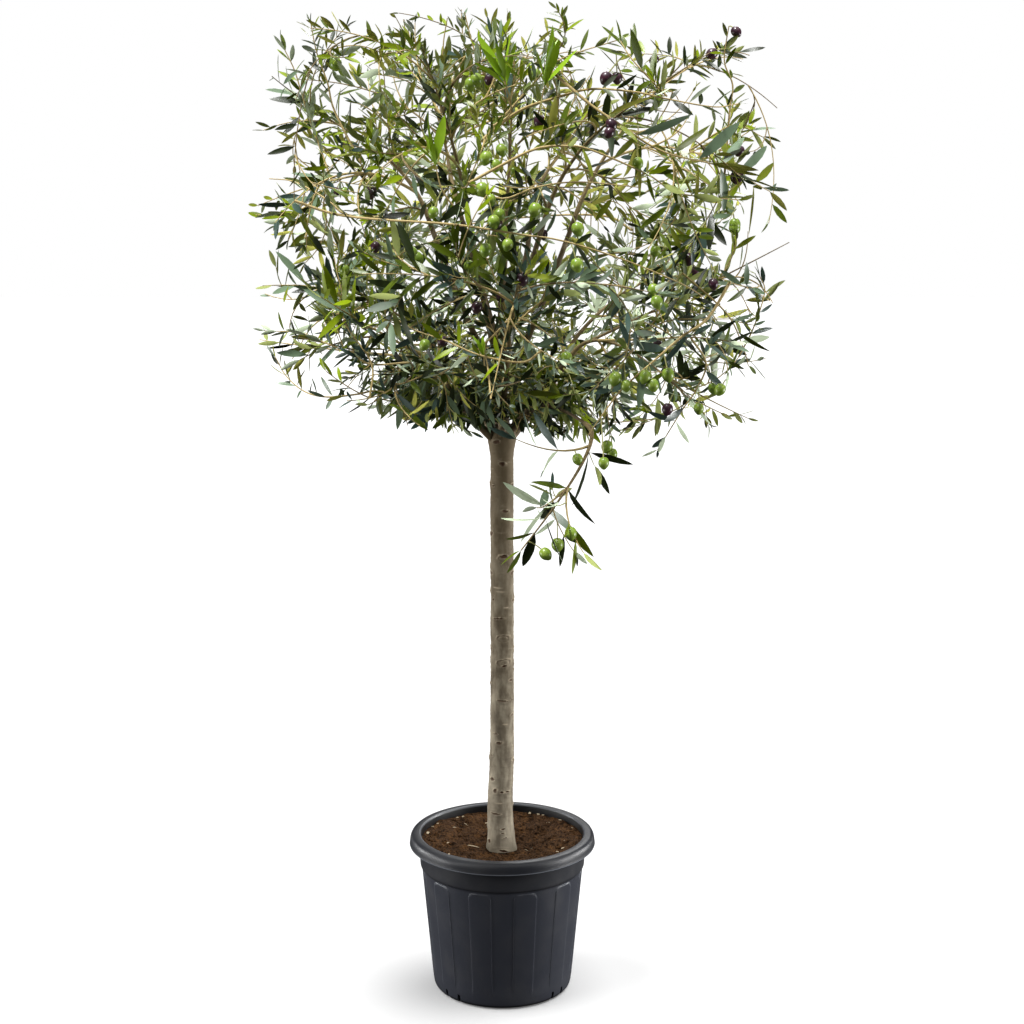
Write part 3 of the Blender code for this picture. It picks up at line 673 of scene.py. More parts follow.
def scattered_crumbs(soil, edge, rng):
    """Loose crumbs of compost and bits of bark that lie on it, joined from one deformed ball."""
    deselect()
    bpy.ops.mesh.primitive_ico_sphere_add(subdivisions=2, radius=1.0)
    ball = bpy.context.object
    points, faces = taken_apart(ball)
    parts = []
    for number in range(CRUMBS):
        radius = (edge - 0.004) * math.sqrt(rng.uniform(0.03, 1.0))
        turn = rng.uniform(0, 2 * math.pi)
        size = 0.0011 + 0.0030 * rng.random() ** 3
        shape = (rng.uniform(0.8, 2.0), rng.uniform(0.7, 1.2), rng.uniform(0.5, 0.9))
        lumpy = points * (1 + 0.35 * roughened(points + number * 3.1, 0.9, 2))[:, None]
        crumb = turned(lumpy * (size * np.array(shape)), rng.uniform(0, 2 * math.pi))
        spot = np.array((radius * math.cos(turn), radius * math.sin(turn), 0.0))
        spot[2] = soil_height(soil, spot[None], edge)[0][0] + size * 0.25
        parts.append((crumb + spot, faces))
    return joined(parts)


CHIPS = (  # place to the right and back, length, width and turn in degrees, of slivers in mm
    (-53, 2, 25, 1.7, -28), (51, 138, 9, 4.2, 75), (-70, 98, 17, 0.9, -58), (-75, 121, 6, 2.6, 20),
    (-86, 116, 5, 2.2, 0), (-138, 31, 9, 4.4, 60), (-100, 0, 6, 2.0, 30), (68, 130, 6, 2.4, -20),
    (77, 124, 5, 1.8, 10), (111, -37, 10, 1.6, 35), (100, -44, 7, 1.4, -30), (86, 91, 7, 1.2, 15),
    (43, 2, 15, 0.9, -52), (129, 53, 8, 1.0, 20), (-131, 62, 6, 2.0, -10), (-122, 76, 5, 1.6, 40),
    (109, 96, 7, 1.4, -25), (115, 0, 8, 1.0, 55), (-90, 72, 7, 1.3, -15), (57, 5, 10, 1.0, 10),
    (-40, -70, 9, 1.6, 35), (30, -96, 12, 1.2, -15), (-96, -66, 7, 2.4, 70), (82, -92, 9, 1.5, 20),
    (10, 60, 8, 1.3, -40), (-30, 104, 10, 1.4, 12),
)


def wood_chips(soil, edge, rng):
    """Split slivers that lie on the compost, each a pointed, slightly bent prism."""
    parts = []
    section = np.array(((-0.5, -0.33), (0.5, -0.33), (0.4, 0.33), (-0.45, 0.22)))
    sides = [(0, 1, 5, 4), (1, 2, 6, 5), (2, 3, 7, 6), (3, 0, 4, 7)]
    rows = ((-0.5, 0.25), (-0.3, 0.9), (-0.05, 1.0), (0.25, 0.8), (0.5, 0.2))
    for x, y, length, width, turn in CHIPS:
        points, bend_sideways = [], rng.uniform(-0.16, 0.16)
        for row, share in rows:
            bow = 1 - (2 * row) ** 2
            for across, above in section:
                aside = across * width * share + bend_sideways * bow * length
                points.append((row * length, aside, above * width * share + 0.05 * bow * length))
        placed = turned(np.array(points), math.radians(turn)) * 0.001
        placed[:, :2] += (x * 0.001, y * 0.001)
        middle = placed.mean(0, keepdims=True)
        placed[:, 2] += soil_height(soil, middle, edge)[0] + width * 0.0004
        faces = [(3, 2, 1, 0), (16, 17, 18, 19)]
        faces += [tuple(n + 4 * row for n in side) for row in range(4) for side in sides]
        triangles = [t for a, b, c, d in faces for t in ((a, b, c), (a, c, d))]
        parts.append((placed, np.array(triangles)))
    return joined(parts)


class OLIVE_OT_soil(bpy.types.Operator):
    """Fill the pot with lumpy compost, loose crumbs and pale wood chips"""

    bl_idname = "olive.soil"
    bl_label = "Compost"

    def execute(self, context):
        soil, pot = context.scene.olive_soil, context.scene.olive_pot
        edge = pot.collar_radius - pot.wall - 0.0002
        rng = random.Random(7)
        peat = peat_compost(soil)
        body = make_soil_top(soil, edge)
        body.data.materials.append(peat)
        shade(body, 60)
        settle(body, "compost", "soil", "soil")
        crumbs = mesh_piece("crumbs", *scattered_crumbs(soil, edge, rng), [peat])
        shade(crumbs, 50)
        settle(crumbs, "compost_crumbs", "soil", "soil")
        chips = mesh_piece("chips", *wood_chips(soil, edge, rng), [wood_chip(soil)])
        settle(chips, "wood_chips", "soil", "soil")
        return {"FINISHED"}


# ---------------- the source's limbs

GAP = 0.0003  # between solids that touch on the real tree
SOIL_TOP = 0.258
TRUNK_TOP = 1.045
TRUNK_RADIUS = 0.0202
TRUNK_TAPER, TAPER_HEIGHT = 0.0040, 0.25
ROOT_FLARE, FLARE_HEIGHT = 0.0060, 0.022
HEAD_SWELL, HEAD_HEIGHT, SWELL_HEIGHT = 0.0050, 1.020, 0.022
SWAY, SWAY_HEIGHT, SWAY_SPREAD = 0.0042, 0.345, 0.070  # to the left, near the foot
LEADER_TOP = 1.360
BOUGH_STEPS = 6
LOW_START, LOW_STEP = 1.004, 0.008  # where the boughs leave, and between them, in threes
HIGH_START, HIGH_STEP = 1.105, 0.026
LOW_TWIST, HIGH_TWIST = 4, 5  # degrees
LEADER_RADII = (0.0120, 0.0052)
LOW_RADII, HIGH_RADII = (0.0078, 0.0044), (0.0065, 0.0042)
HANGING_RADII = (0.0036, 0.0024)
LOW_NAMES = ("back_right", "back", "back_left", "front_left", "front", "front_right")
HIGH_NAMES = ("right", "back_right", "back_left", "left", "front_left", "front_right")


@dataclass
class Limb:
    """A tapering limb: points along its middle and a radius at each."""

    name: str
    points: np.ndarray
    radii: np.ndarray

    def tip(self):
        return self.points[-1]

    def heading(self):
        return unit(self.points[-1] - self.points[-2])

    def redrawn(self, steps):
        """A bough's line with this many steps."""
        first, middle, last = self.points[0], self.points[3], self.points[6]
        return bend(first, 2 * middle - (first + last) / 2, last, steps)


def vec(*values):
    return np.array(values, float)


def bend(start, lean, end, steps):
    """Points of the curve that leaves start towards lean and arrives at end."""
    t = np.linspace(0.0, 1.0, steps + 1)[:, None]
    return start * (1 - t) ** 2 + lean * (2 * t * (1 - t)) + end * t**2


def tapered(first, last, steps):
    return np.linspace(first, last, steps + 1)


def around(azimuth, radius, height):
    """A point at this azimuth in degrees, counted anticlockwise from +X as seen from above."""
    turn = math.radians(azimuth)
    return vec(radius * math.cos(turn), radius * math.sin(turn), height)


def trunk_limb(rings=14):
    """The trunk, with its flared foot, its taper, its sway and the swelling at its head."""
    share = np.linspace(0.0, 1.0, rings + 1)
    height = SOIL_TOP + GAP + (TRUNK_TOP - SOIL_TOP - GAP) * share**1.25
    rise = height - SOIL_TOP
    radii = TRUNK_RADIUS + ROOT_FLARE * np.exp(-rise / FLARE_HEIGHT)
    radii += TRUNK_TAPER * np.exp(-rise / TAPER_HEIGHT)
    radii += HEAD_SWELL * bell(height, HEAD_HEIGHT, SWELL_HEIGHT)
    sway = -SWAY * bell(height, SWAY_HEIGHT, SWAY_SPREAD)
    return Limb("trunk", np.stack((sway, 0.4 * sway, height), 1), radii)


def grown_limbs():
    """The trunk, leader and boughs, at the places and sizes that the solids have."""
    trunk = trunk_limb()
    middle = vec(-0.004, 0.003, (TRUNK_TOP + LEADER_TOP) / 2)
    foot = trunk.tip() - trunk.heading() * 0.01
    line = bend(foot, middle, vec(0.006, 0.0, LEADER_TOP), BOUGH_STEPS)
    leader = Limb("bough_leader", line, tapered(*LEADER_RADII, BOUGH_STEPS))
    low, high = [], []
    for number, name in enumerate(LOW_NAMES):
        azimuth, start = 60 * number + 30, LOW_START + LOW_STEP * (number % 3)
        lean = around(azimuth, 0.070, start + 0.055)
        tip = around(azimuth + LOW_TWIST, 0.130, start + 0.145)
        line = bend(around(azimuth, 0.0, start), lean, tip, BOUGH_STEPS)
        low.append(Limb(f"bough_low_{name}", line, tapered(*LOW_RADII, BOUGH_STEPS)))
    for number, name in enumerate(HIGH_NAMES):
        azimuth, start = 60 * number, HIGH_START + HIGH_STEP * (number % 3)
        lean = around(azimuth, 0.055, start + 0.095)
        tip = around(azimuth + HIGH_TWIST, 0.128, 1.405)
        line = bend(around(azimuth, 0.0, start), lean, tip, BOUGH_STEPS)
        high.append(Limb(f"bough_high_{name}", line, tapered(*HIGH_RADII, BOUGH_STEPS)))
    lean, tip = vec(0.105, -0.085, 1.085), vec(0.140, -0.200, 1.070)
    line = bend(low[5].points[3], lean, tip, BOUGH_STEPS)
    hanging = Limb("bough_hanging", line, tapered(*HANGING_RADII, BOUGH_STEPS))
    return trunk, leader, low, high, hanging


# ---------------- bark


def olive_bark(bark):
    """Young olive bark: smooth, matt and grey beige, with lichen-pale patches and dark scars,
    painted shade darkening it towards its head and painted light paling it near the ground.
    """
    material, tree, shader, place = new_material(
        "Olive bark", Roughness=0.82, Specular_IOR_Level=0.3
    )
    tall = add_node(tree, "Mapping", Vector=place, Scale=(1.0, 1.0, 0.35))
    patches = add_node(tree, "TexNoise", Vector=tall, Scale=70.0, Detail=4.0, Roughness=0.55)
    flecks = add_node(tree, "TexNoise", Vector=place, Scale=700.0, Detail=4.0, Roughness=0.65)
    scar, ridge = [
        add_node(tree, "Attribute", {"attribute_name": name}).outputs["Fac"]
        for name in ("scar", "ridge")
    ]
    height = add_node(tree, "SeparateXYZ", Vector=place).outputs["Z"]
    layers = [  # the strength of each, and its colour
        (add_node(tree, "MapRange", Value=value, From_Min=none, From_Max=full, To_Max=most), over)
        for value, none, full, most, over in (
            (patches, 0.44, 0.66, 0.80, bark.pale),
            (patches, 0.47, 0.30, 0.70, bark.shade),
            (flecks, 0.58, 0.72, 0.30, bark.shade),
            # Painted shade towards the head of the trunk, under the crown, and painted light near
            # its foot
            (height, 0.55, 1.04, 0.95, bark.head),
            (height, 0.60, 0.28, 0.16, bark.foot),
        )
    ]
    colour = bark.bark
    for share, over in (*layers, (ridge, bark.rim), (scar, bark.wound)):
        colour = add_node(tree, "Mix", RGBA, Factor=share, A=colour, B=over)
    bump = add_node(tree, "Bump", Height=flecks, Distance=0.0006, Strength=0.35)
    fill(shader, Base_Color=colour, Normal=bump)
    return material


SCARS = (  # height, azimuth in degrees from the front, width and height in mm, and hollowness
    (0.277, -56, 9, 8, 1.0), (0.262, 10, 16, 6, 1.2), (0.286, 16, 8, 2, 1.0), (0.295, 9, 7, 2, 1.0),
    (0.303, 9, 8, 3, 1.0), (0.332, -19, 17, 4, 0.8), (0.373, 35, 8, 3, 0.9), (0.373, 7, 8, 4, 1.0),
    (0.375, -23, 8, 10, 0.9), (0.396, -45, 10, 7, 0.9), (0.427, 66, 9, 13, 0.3),
    (0.440, -53, 4, 3, 1.0), (0.465, -13, 11, 6, 0.8), (0.482, -35, 10, 3, 0.6),
    (0.516, 53, 10, 5, 0.6), (0.544, 0, 17, 4, 0.8), (0.545, 48, 4, 3, 1.0),
    (0.573, -70, 6, 5, 0.5), (0.581, 47, 10, 5, 0.9), (0.588, -60, 5, 4, 0.6),
    (0.609, 11, 10, 4, 1.0), (0.616, -86, 7, 7, 0.6), (0.637, -64, 7, 7, 0.7),
    (0.636, 86, 7, 8, 0.6), (0.696, -19, 18, 4, 0.9), (0.728, 64, 7, 6, 0.7),
    (0.730, -48, 5, 4, 1.0), (0.778, -64, 8, 7, 0.7), (0.778, 62, 9, 8, 0.7),
    (0.809, 6, 13, 7, 1.0), (0.848, -62, 9, 9, 1.0), (0.891, 16, 12, 5, 1.0),
    (0.936, -80, 8, 12, 0.9), (0.936, -48, 4, 4, 1.0), (0.936, 58, 9, 8, 0.9),
    (0.976, 3, 12, 7, 1.0), (1.015, -23, 12, 6, 1.0),
)
EYES = (  # the same for healed knots, which are a ring with bark grown over their middle
    (0.614, 10, 30, 16),
    (0.659, 5, 26, 14),
    (0.806, 6, 22, 12),
)
CRACKS = ((0.752, -23, 17), (0.716, 20, 9), (0.500, 15, 10), (0.352, -5, 13), (0.745, -10, 14))


def trunk_scars(rng):
    """The scars on the front, and others like them round the rest of the trunk."""
    scars = list(SCARS)
    for n in range(50):
        size = rng.uniform(5, 12)
        tall = size * rng.choice((0.3, 0.4, 0.8))
        scars.append((0.285 + 0.0148 * n, rng.uniform(95, 265), size, tall, rng.uniform(0.5, 1)))
    return scars


def carve_bark(limb_object, limb, bark, scars):
    """Wrinkles across the limb, lobes at its foot, and a low rimmed knot at each scar."""
    mesh = limb_object.data
    points = read_points(mesh)
    height = points[:, 2]
    centre = np.stack([np.interp(height, limb.points[:, 2], limb.points[:, i]) for i in (0, 1)], 1)
    side = points[:, :2] - centre
    radius = np.linalg.norm(side, axis=1)
    outward = side / np.maximum(radius, 1e-6)[:, None]
    azimuth = np.degrees(np.arctan2(side[:, 0], -side[:, 1]))
    wrinkles = roughened(points * (0.6, 0.6, 2.6) + 3.0, 0.016, 4)
    broad = roughened(points * (1, 1, 0.45) + 3.0, 0.030, 2)
    grain = roughened(points + 9.0, 0.0045, 2)
    rise = bark.relief * (0.8 * wrinkles + 1.6 * broad + 0.25 * grain)
    lobes = np.cos(np.radians(azimuth * 4 + 150)) + 0.5 * np.cos(np.radians(azimuth * 7 - 70))
    rise += 0.0022 * lobes * np.exp(-(height - SOIL_TOP) / 0.012)
    scar, ridge = np.zeros(len(points)), smoothstep(wrinkles, 0.45, 1.0) * 0.22

    def away_from(turn, at, tilt):
        across = (np.mod(azimuth - turn + 180, 360) - 180) * math.pi / 180 * radius * 1000
        return across, (height - at) * 1000 - tilt * across

    for number, (at, turn, wide, tall, hollowness) in enumerate(scars):
        across, up = away_from(turn, at, 0.08 * (-1) ** number)
        distance = np.hypot(across / (wide * 0.5), up / (tall * 0.5))
        ragged = distance + 0.25 * wrinkles + 0.38 * grain
        hollow = (1 - smoothstep(ragged, 0.52, 1.08)) * hollowness
        lip = bell(ragged, 1.18, 0.26) * (0.35 + 0.65 * smoothstep(grain, -0.2, 0.4))
        lip *= 0.35 + 0.65 * smoothstep(up / tall, -0.15, 0.35)
        dome = np.exp(-((across / (wide * 0.75)) ** 2) - (up / (tall * 0.55 + 2.5)) ** 2)
        rise += bark.scar * (dome + 0.55 * lip - 1.5 * hollow)
        scar = np.maximum(scar, hollow * 0.95)
        ridge = np.maximum(ridge, lip * 1.1)
    for at, turn, wide, tall in EYES:
        across, up = away_from(turn, at, 0.05)
        distance = np.hypot(across / (wide * 0.5), up / (tall * 0.5)) + 0.2 * wrinkles + 0.1 * grain
        upper = 0.30 + 0.70 * smoothstep(up / tall, -0.25, 0.2)
        for ring, strength in ((0.50, 0.5), (0.98, 1.0)):
            line = bell(distance, ring, 0.12) * upper * strength
            rise += 0.0011 * line
            ridge = np.maximum(ridge, line * 0.45)
        groove = bell(distance, 0.78, 0.12) * upper
        rise -= 0.0008 * groove
        scar = np.maximum(scar, groove * 0.30)
    for at, turn, wide in CRACKS:
        across, up = away_from(turn, at, -0.05)
        line = np.exp(-((up / 1.1) ** 2) - (across / (wide * 0.5)) ** 4)
        rise += 0.0005 * line
        ridge = np.maximum(ridge, line * 0.8)
    inside = smoothstep(height, limb.points[0, 2] - 0.001, limb.points[0, 2] + 0.003)
    points[:, :2] += outward * (rise * inside)[:, None]
    write_points(mesh, points)
    store(mesh, "scar", scar)
    store(mesh, "ridge", ridge)


class OLIVE_OT_trunk(bpy.types.Operator):
    """Extrude the trunk ring by ring, then carve its wrinkles, scars and foot"""

    bl_idname = "olive.trunk"
    bl_label = "Trunk"

    def execute(self, context):
        bark = context.scene.olive_bark
        limb = trunk_limb(160)
        deselect()
        bpy.ops.mesh.primitive_circle_add(
            vertices=24, radius=limb.radii[0], fill_type="NGON", location=limb.points[0]
        )
        trunk = bpy.context.object
        edit_all()
        steps = zip(limb.points, limb.points[1:], limb.radii, limb.radii[1:])
        for start, end, radius, next_radius in steps:
            bpy.ops.mesh.extrude_region_move(TRANSFORM_OT_translate={"value": end - start})
            size = next_radius / radius
            bpy.ops.transform.resize(value=(size, size, 1.0), center_override=end)
        bpy.ops.mesh.select_all(action="SELECT")
        bpy.ops.mesh.normals_make_consistent(inside=False)
        bpy.ops.object.mode_set(mode="OBJECT")
        smoother = trunk.modifiers.new("Smoother", "SUBSURF")
        smoother.levels = smoother.render_levels = 2
        smoother.boundary_smooth = "PRESERVE_CORNERS"
        apply_all(trunk)
        carve_bark(trunk, limb, bark, trunk_scars(random.Random(5)))
        shade(trunk, 60)
        trunk.data.materials.append(olive_bark(bark))
        settle(trunk, "trunk_bark", "bark", "trunk")
        return {"FINISHED"}


def tube_arrays(line, radii, sides):
    """Points and triangles of a closed tube along the line."""
    ahead = unit(np.gradient(line, axis=0))
    first = np.cross(ahead[0], (0.31, 0.83, 0.46))
    across = [unit(first)]
    for direction in ahead[1:]:
        across.append(unit(across[-1] - direction * (across[-1] @ direction)))
    across = np.array(across)
    other = np.cross(ahead, across)
    turn = 2 * math.pi * np.arange(sides) / sides
    ring = across[:, None] * np.cos(turn)[None, :, None]
    ring = ring + other[:, None] * np.sin(turn)[None, :, None]
    points = (line[:, None] + ring * radii[:, None, None]).reshape(-1, 3)
    points = np.concatenate((points, line[:1], line[-1:]))
    rows, faces = len(line), []
    for row in range(rows - 1):
        for n in range(sides):
            a, b = row * sides + n, row * sides + (n + 1) % sides
            faces += [(a, b, b + sides), (a, b + sides, a + sides)]
    foot, tip, last = rows * sides, rows * sides + 1, (rows - 1) * sides
    for n in range(sides):
        faces += [(foot, (n + 1) % sides, n), (tip, last + n, last + (n + 1) % sides)]
    return points, np.array(faces)


class OLIVE_OT_boughs(bpy.types.Operator):
    """Sweep the leader and the boughs, thicken their feet and roughen their bark"""

    bl_idname = "olive.boughs"
    bl_label = "Boughs"

    def execute(self, context):
        bark = context.scene.olive_bark
        material = olive_bark(bark)
        _, leader, low, high, hanging = grown_limbs()
        for number, limb in enumerate([leader, *low, *high, hanging]):
            line = limb.redrawn(40)
            radii = tapered(limb.radii[0], limb.radii[-1], 40)
            along = np.linspace(0, np.linalg.norm(line[-1] - line[0]), 41)
            radii = radii * (1 + 0.35 * np.exp(-along / 0.020))
            points, faces = tube_arrays(line, radii, 14)
            bough = mesh_piece(limb.name, points, faces, [material])
            relief = roughened(points + number, 0.012, 3) * bark.relief * 0.8
            centres = np.concatenate((np.repeat(line, 14, 0), line[:1], line[-1:]))
            points = points + unit(points - centres) * relief[:, None]
            write_points(bough.data, points)
            scarred = smoothstep(roughened(points * 1.7, 0.010, 2), 0.55, 0.9)
            store(bough.data, "scar", scarred * 0.7)
            store(bough.data, "ridge", smoothstep(relief / bark.relief, 0.2, 0.7) * 0.5)
            shade(bough, 60)
            settle(bough, f"{limb.name}_bark", "bark", limb.name)
        return {"FINISHED"}


# ---------------- the source's growth

CROWN_CENTRE = vec(0.027, 0.0, 1.395)
CROWN_HALF = vec(0.468, 0.455, 0.363)
CROWN_SAG = 0.12  # how much deeper its underside is for each metre to the right
PLAN_POWER = 2.6
SIDE_POWER = 5.0
RING_RADIUS = 0.265
LOW_RING_HEIGHT = 1.190
HIGH_RING_HEIGHT = 1.570
RING_STAGGER = 0.060
TOP_SITE = vec(0.02, 0.0, 1.640)
HANGING_SITE = vec(0.076, -0.285, 0.958)
HANGING_HALF = vec(0.088, 0.095, 0.105)
SITE_SHIFT = vec(0.02, 0, 0)  # of the rings of sites, towards the fuller side
STEM_REACH = 0.80  # of the way to the outline
STEM_SEAT = 0.008  # straight on from the bough before the stem bends
STEM_ROOM = 0.02  # between the end of a stem and its mass's border
TIP_TRIES, TIP_CHOICES = 400, 12
TIP_SPREAD = 0.75  # of the crown's half size, round the mass's site
OUTER_SHARE = 0.67  # of the tips, moved out to the outer band of the crown
OUTER_BAND, INNER_BAND = (0.90, 0.985), (0.45, 0.90)
TIP_ROOM, TWIG_ROOM = 0.006, 0.0045
FAR_COST = 1.55  # of a way, against which a straight way on from the twig saves TURN_SAVING
TURN_SAVING = 0.75
TWIG_LIFT = 0.15
TWIG_GIRTH = 0.006  # added to its foot for each metre of a twig
FORK_TAPER, TIP_TAPER = 0.9, 0.8
TWIG_RADIUS = 0.0016
STEM_RADIUS = 0.0040
SOURCE_STEPS = 3  # the solids draw a twig with this many steps
SOURCE_TWIGS = 5  # the first few in each mass reach the outline as the solids' do
RAGGED_REACH = 0.85  # how much of the outline's reach finer growth fills
RAGGED_DEPTH = 0.22  # and how much that changes from lump to lump
TOP_LOSS = 0.05  # and that much less towards the top
SHOULDER_LOSS = 0.07  # and more so on the right
HEAD_GAIN = 0.14  # and that much more round the head of the trunk
HEAD_SPREAD = (0.14, 0.30)  # from the trunk, where the leaves round its head thin out
HEAD_REACH = (1.12, 1.26)  # and the heights where they do
LOW_TWIGS, HIGH_TWIGS, TOP_TWIGS, HANGING_TWIGS = 36, 27, 20, 4
MARGIN = 0.005  # between the middle of a leaf or of a twig and the box round the solids
OVERLAP = 0.014  # how far leaves may reach over a border, so that no gap shows along it


@dataclass
class Mass:
    """One mass of foliage: the bough that it grows from and the site of its space."""

    name: str
    bough: Limb
    site: np.ndarray
    seed: int
    twigs: int
    centre: np.ndarray = field(default_factory=CROWN_CENTRE.copy)
    half: np.ndarray = field(default_factory=CROWN_HALF.copy)
    sag: float = CROWN_SAG


@dataclass
class Twig:
    """A twig: the nodes that others may leave it from, the line it is drawn on, its rank."""

    nodes: np.ndarray
    radii: np.ndarray
    line: np.ndarray
    line_radii: np.ndarray
    rank: int  # 0 stem, 1 twig, 2 side shoot, 3 long arching shoot
    leaf_size: float = 1.0
    new_growth: bool = False
    spacing: float = 0.0  # between pairs of leaves, where it isn't the usual

    def heading(self, index):
        after = min(index + 1, len(self.nodes) - 1)
        return unit(self.nodes[after] - self.nodes[max(after - 1, 0)])


@dataclass
class Space:
    """What growth must keep clear of: the other masses' sites and the limbs' segments."""

    sites: np.ndarray
    starts: np.ndarray
    along: np.ndarray
    thick: np.ndarray


def space_for(mass, masses, limbs):
    starts = np.concatenate([limb.points[:-1] for limb in limbs])
    along = np.concatenate([np.diff(limb.points, axis=0) for limb in limbs])
    thick = np.concatenate([np.maximum(limb.radii[:-1], limb.radii[1:]) for limb in limbs])
    others = np.array([other.site for other in masses if other is not mass])
    return Space(others, starts, along, thick)


def outline_share(mass, points):
    """0 at the centre of the crown, or of the hanging spray, and 1 on its outline."""
    side = points - mass.centre
    sagged = mass.half[2] + mass.sag * side[..., 0]
    half_height = np.where(side[..., 2] < 0, sagged, mass.half[2])
    plan = np.abs(side[..., 0] / mass.half[0]) ** PLAN_POWER
    plan = plan + np.abs(side[..., 1] / mass.half[1]) ** PLAN_POWER
    up = np.abs(side[..., 2] / half_height) ** SIDE_POWER
    return (plan ** (SIDE_POWER / PLAN_POWER) + up) ** (1 / SIDE_POWER)


def border_room(mass, space, points):
    """How far the points lie inside the mass's own space, from its nearest border."""
    own = ((points - mass.site) ** 2).sum(-1)
    other = ((points[..., None, :] - space.sites) ** 2).sum(-1)
    apart = 2 * np.linalg.norm(space.sites - mass.site, axis=1)
    return ((other - own[..., None]) / apart).min(-1)


def limb_room(space, points):
    """How far the points lie from the skin of the nearest limb."""
    away = points[..., None, :] - space.starts
    length = (space.along**2).sum(-1)
    share = np.clip((away * space.along).sum(-1) / length, 0.0, 1.0)
    distance = np.linalg.norm(away - space.along * share[..., None], axis=-1)
    return (distance - space.thick).min(-1)


def is_free(mass, space, points, margin):
    """Whether all the points, with this margin, stay in the space and clear of every limb."""
    return bool(
        (outline_share(mass, points) <= 1.0).all()
        and (border_room(mass, space, points) >= margin).all()
        and (limb_room(space, points) > margin).all()
    )


def random_point(rng, mass):
    """A point in the crown round the mass's site. Two in three are moved out to the outline."""
    spread_out = vec(*[rng.uniform(-1.0, 1.0) for _ in range(3)])
    point = mass.site + spread_out * mass.half * TIP_SPREAD
    share = float(outline_share(mass, point))
    wanted = rng.uniform(*(OUTER_BAND if rng.random() < OUTER_SHARE else INNER_BAND))
    return mass.centre + (point - mass.centre) * (wanted / max(share, 1e-6))


def near_head(points):
    """1 round the head of the trunk, where leaves crowd and hang down, and 0 far from it."""
    aside = smoothstep(np.hypot(points[..., 0], points[..., 1]), *HEAD_SPREAD)
    return (1 - aside) * (1 - smoothstep(points[..., 2], *HEAD_REACH))


def ragged_limit(points):
    """How much of the outline's reach growth fills here: the crown is fuller in some places."""
    lumps = np.array([noise.noise(Vector(p)) for p in (points / 0.10).reshape(-1, 3).tolist()])
    reached = RAGGED_REACH + RAGGED_DEPTH * lumps.reshape(points.shape[:-1])
    reached = reached - TOP_LOSS * smoothstep(points[..., 2], 1.50, 1.70)
    top_right = smoothstep(points[..., 0], 0.06, 0.16) * smoothstep(points[..., 2], 1.56, 1.66)
    return reached - SHOULDER_LOSS * top_right + HEAD_GAIN * near_head(points)


CLUMPS = (  # x, z and reach in mm, of places more open than those round them, or fuller
    (-306, 1187, 60, 0.75), (-402, 1227, 50, 0.30), (-210, 1108, 50, 0.50), (369, 1108, 60, 0.55),
    (466, 1227, 50, 0.60), (466, 1344, 60, 0.50), (273, 1187, 50, 0.30), (80, 1650, 60, 0.40),
    (176, 1575, 60, 0.45), (250, 1555, 60, 0.45), (466, 1575, 60, 0.75), (466, 1470, 50, 0.30),
    (-402, 1590, 50, 0.50), (-402, 1400, 50, 0.40), (273, 1344, 50, 0.30), (-210, 1650, 50, 0.25),
    (-306, 1422, 60, -0.15), (369, 1422, 60, -0.35), (369, 1665, 50, -0.30), (-17, 1730, 60, -0.40),
    (369, 1344, 50, -0.20), (60, 1344, 70, -0.35), (-100, 1490, 60, -0.20),
    (-360, 1235, 40, 0.40), (-262, 1142, 45, 0.30), (228, 1223, 45, 0.25), (430, 1340, 45, 0.45),
    (-458, 1615, 45, 0.60), (326, 1382, 50, -0.80), (326, 1460, 45, -0.25), (-390, 1530, 60, -0.40),
    (-66, 1500, 50, -0.25), (-262, 1670, 60, -0.45), (60, 1290, 60, -0.25), (430, 1290, 45, 0.50),
    (430, 1625, 45, 0.55), (228, 1538, 45, 0.25), (445, 1223, 40, 0.30), (130, 1690, 50, -0.50),
    (-360, 1142, 55, -0.60), (-370, 1300, 40, 0.20),
)


LEAST_OPEN, LOW_OPEN, OUTER_OPEN, HIGH_OPEN = 0.06, 0.08, 0.36, 0.34
RIGHT_OPEN = 0.55  # how much more open it is high up on the right
LUMP_OPEN, LUMP_SIZE = 0.45, 0.085


def openness(point):
    """How much of the foliage is missing here: more high up and far out, and in lumps."""
    far_out = smoothstep(np.hypot(point[0] - CROWN_CENTRE[0], point[1]), 0.14, 0.42)
    right = 1 + RIGHT_OPEN * smoothstep(point[0], 0.04, 0.20)
    high_up = smoothstep(point[2], 1.24, 1.48) * right
    low = LOW_OPEN * (1 - smoothstep(point[2], 1.10, 1.30)) * (1 - near_head(point))
    share = LEAST_OPEN + low + OUTER_OPEN * far_out + HIGH_OPEN * high_up
    for x, z, clump_reach, gain in CLUMPS:
        away = math.hypot(point[0] * 1000 - x, point[2] * 1000 - z) / clump_reach
        share += gain * math.exp(-(away**2))
    return share + LUMP_OPEN * noise.noise(Vector(point / LUMP_SIZE))


def next_tip(rng, mass, space, taken, ragged):
    """The roomiest of a few free points in the space, for the next twig to reach."""
    best, best_room, found = None, 0.0, 0
    taken = np.array(taken)
    for _ in range(TIP_TRIES):
        point = random_point(rng, mass)
        if not is_free(mass, space, point[None], TIP_ROOM):
            continue
        if ragged and outline_share(mass, point) > ragged_limit(point[None])[0]:
            continue
        room = np.linalg.norm(taken - point, axis=1).min()
        if room > best_room:
            best, best_room = point, room
        found += 1
        if found == TIP_CHOICES:
            break
    return best


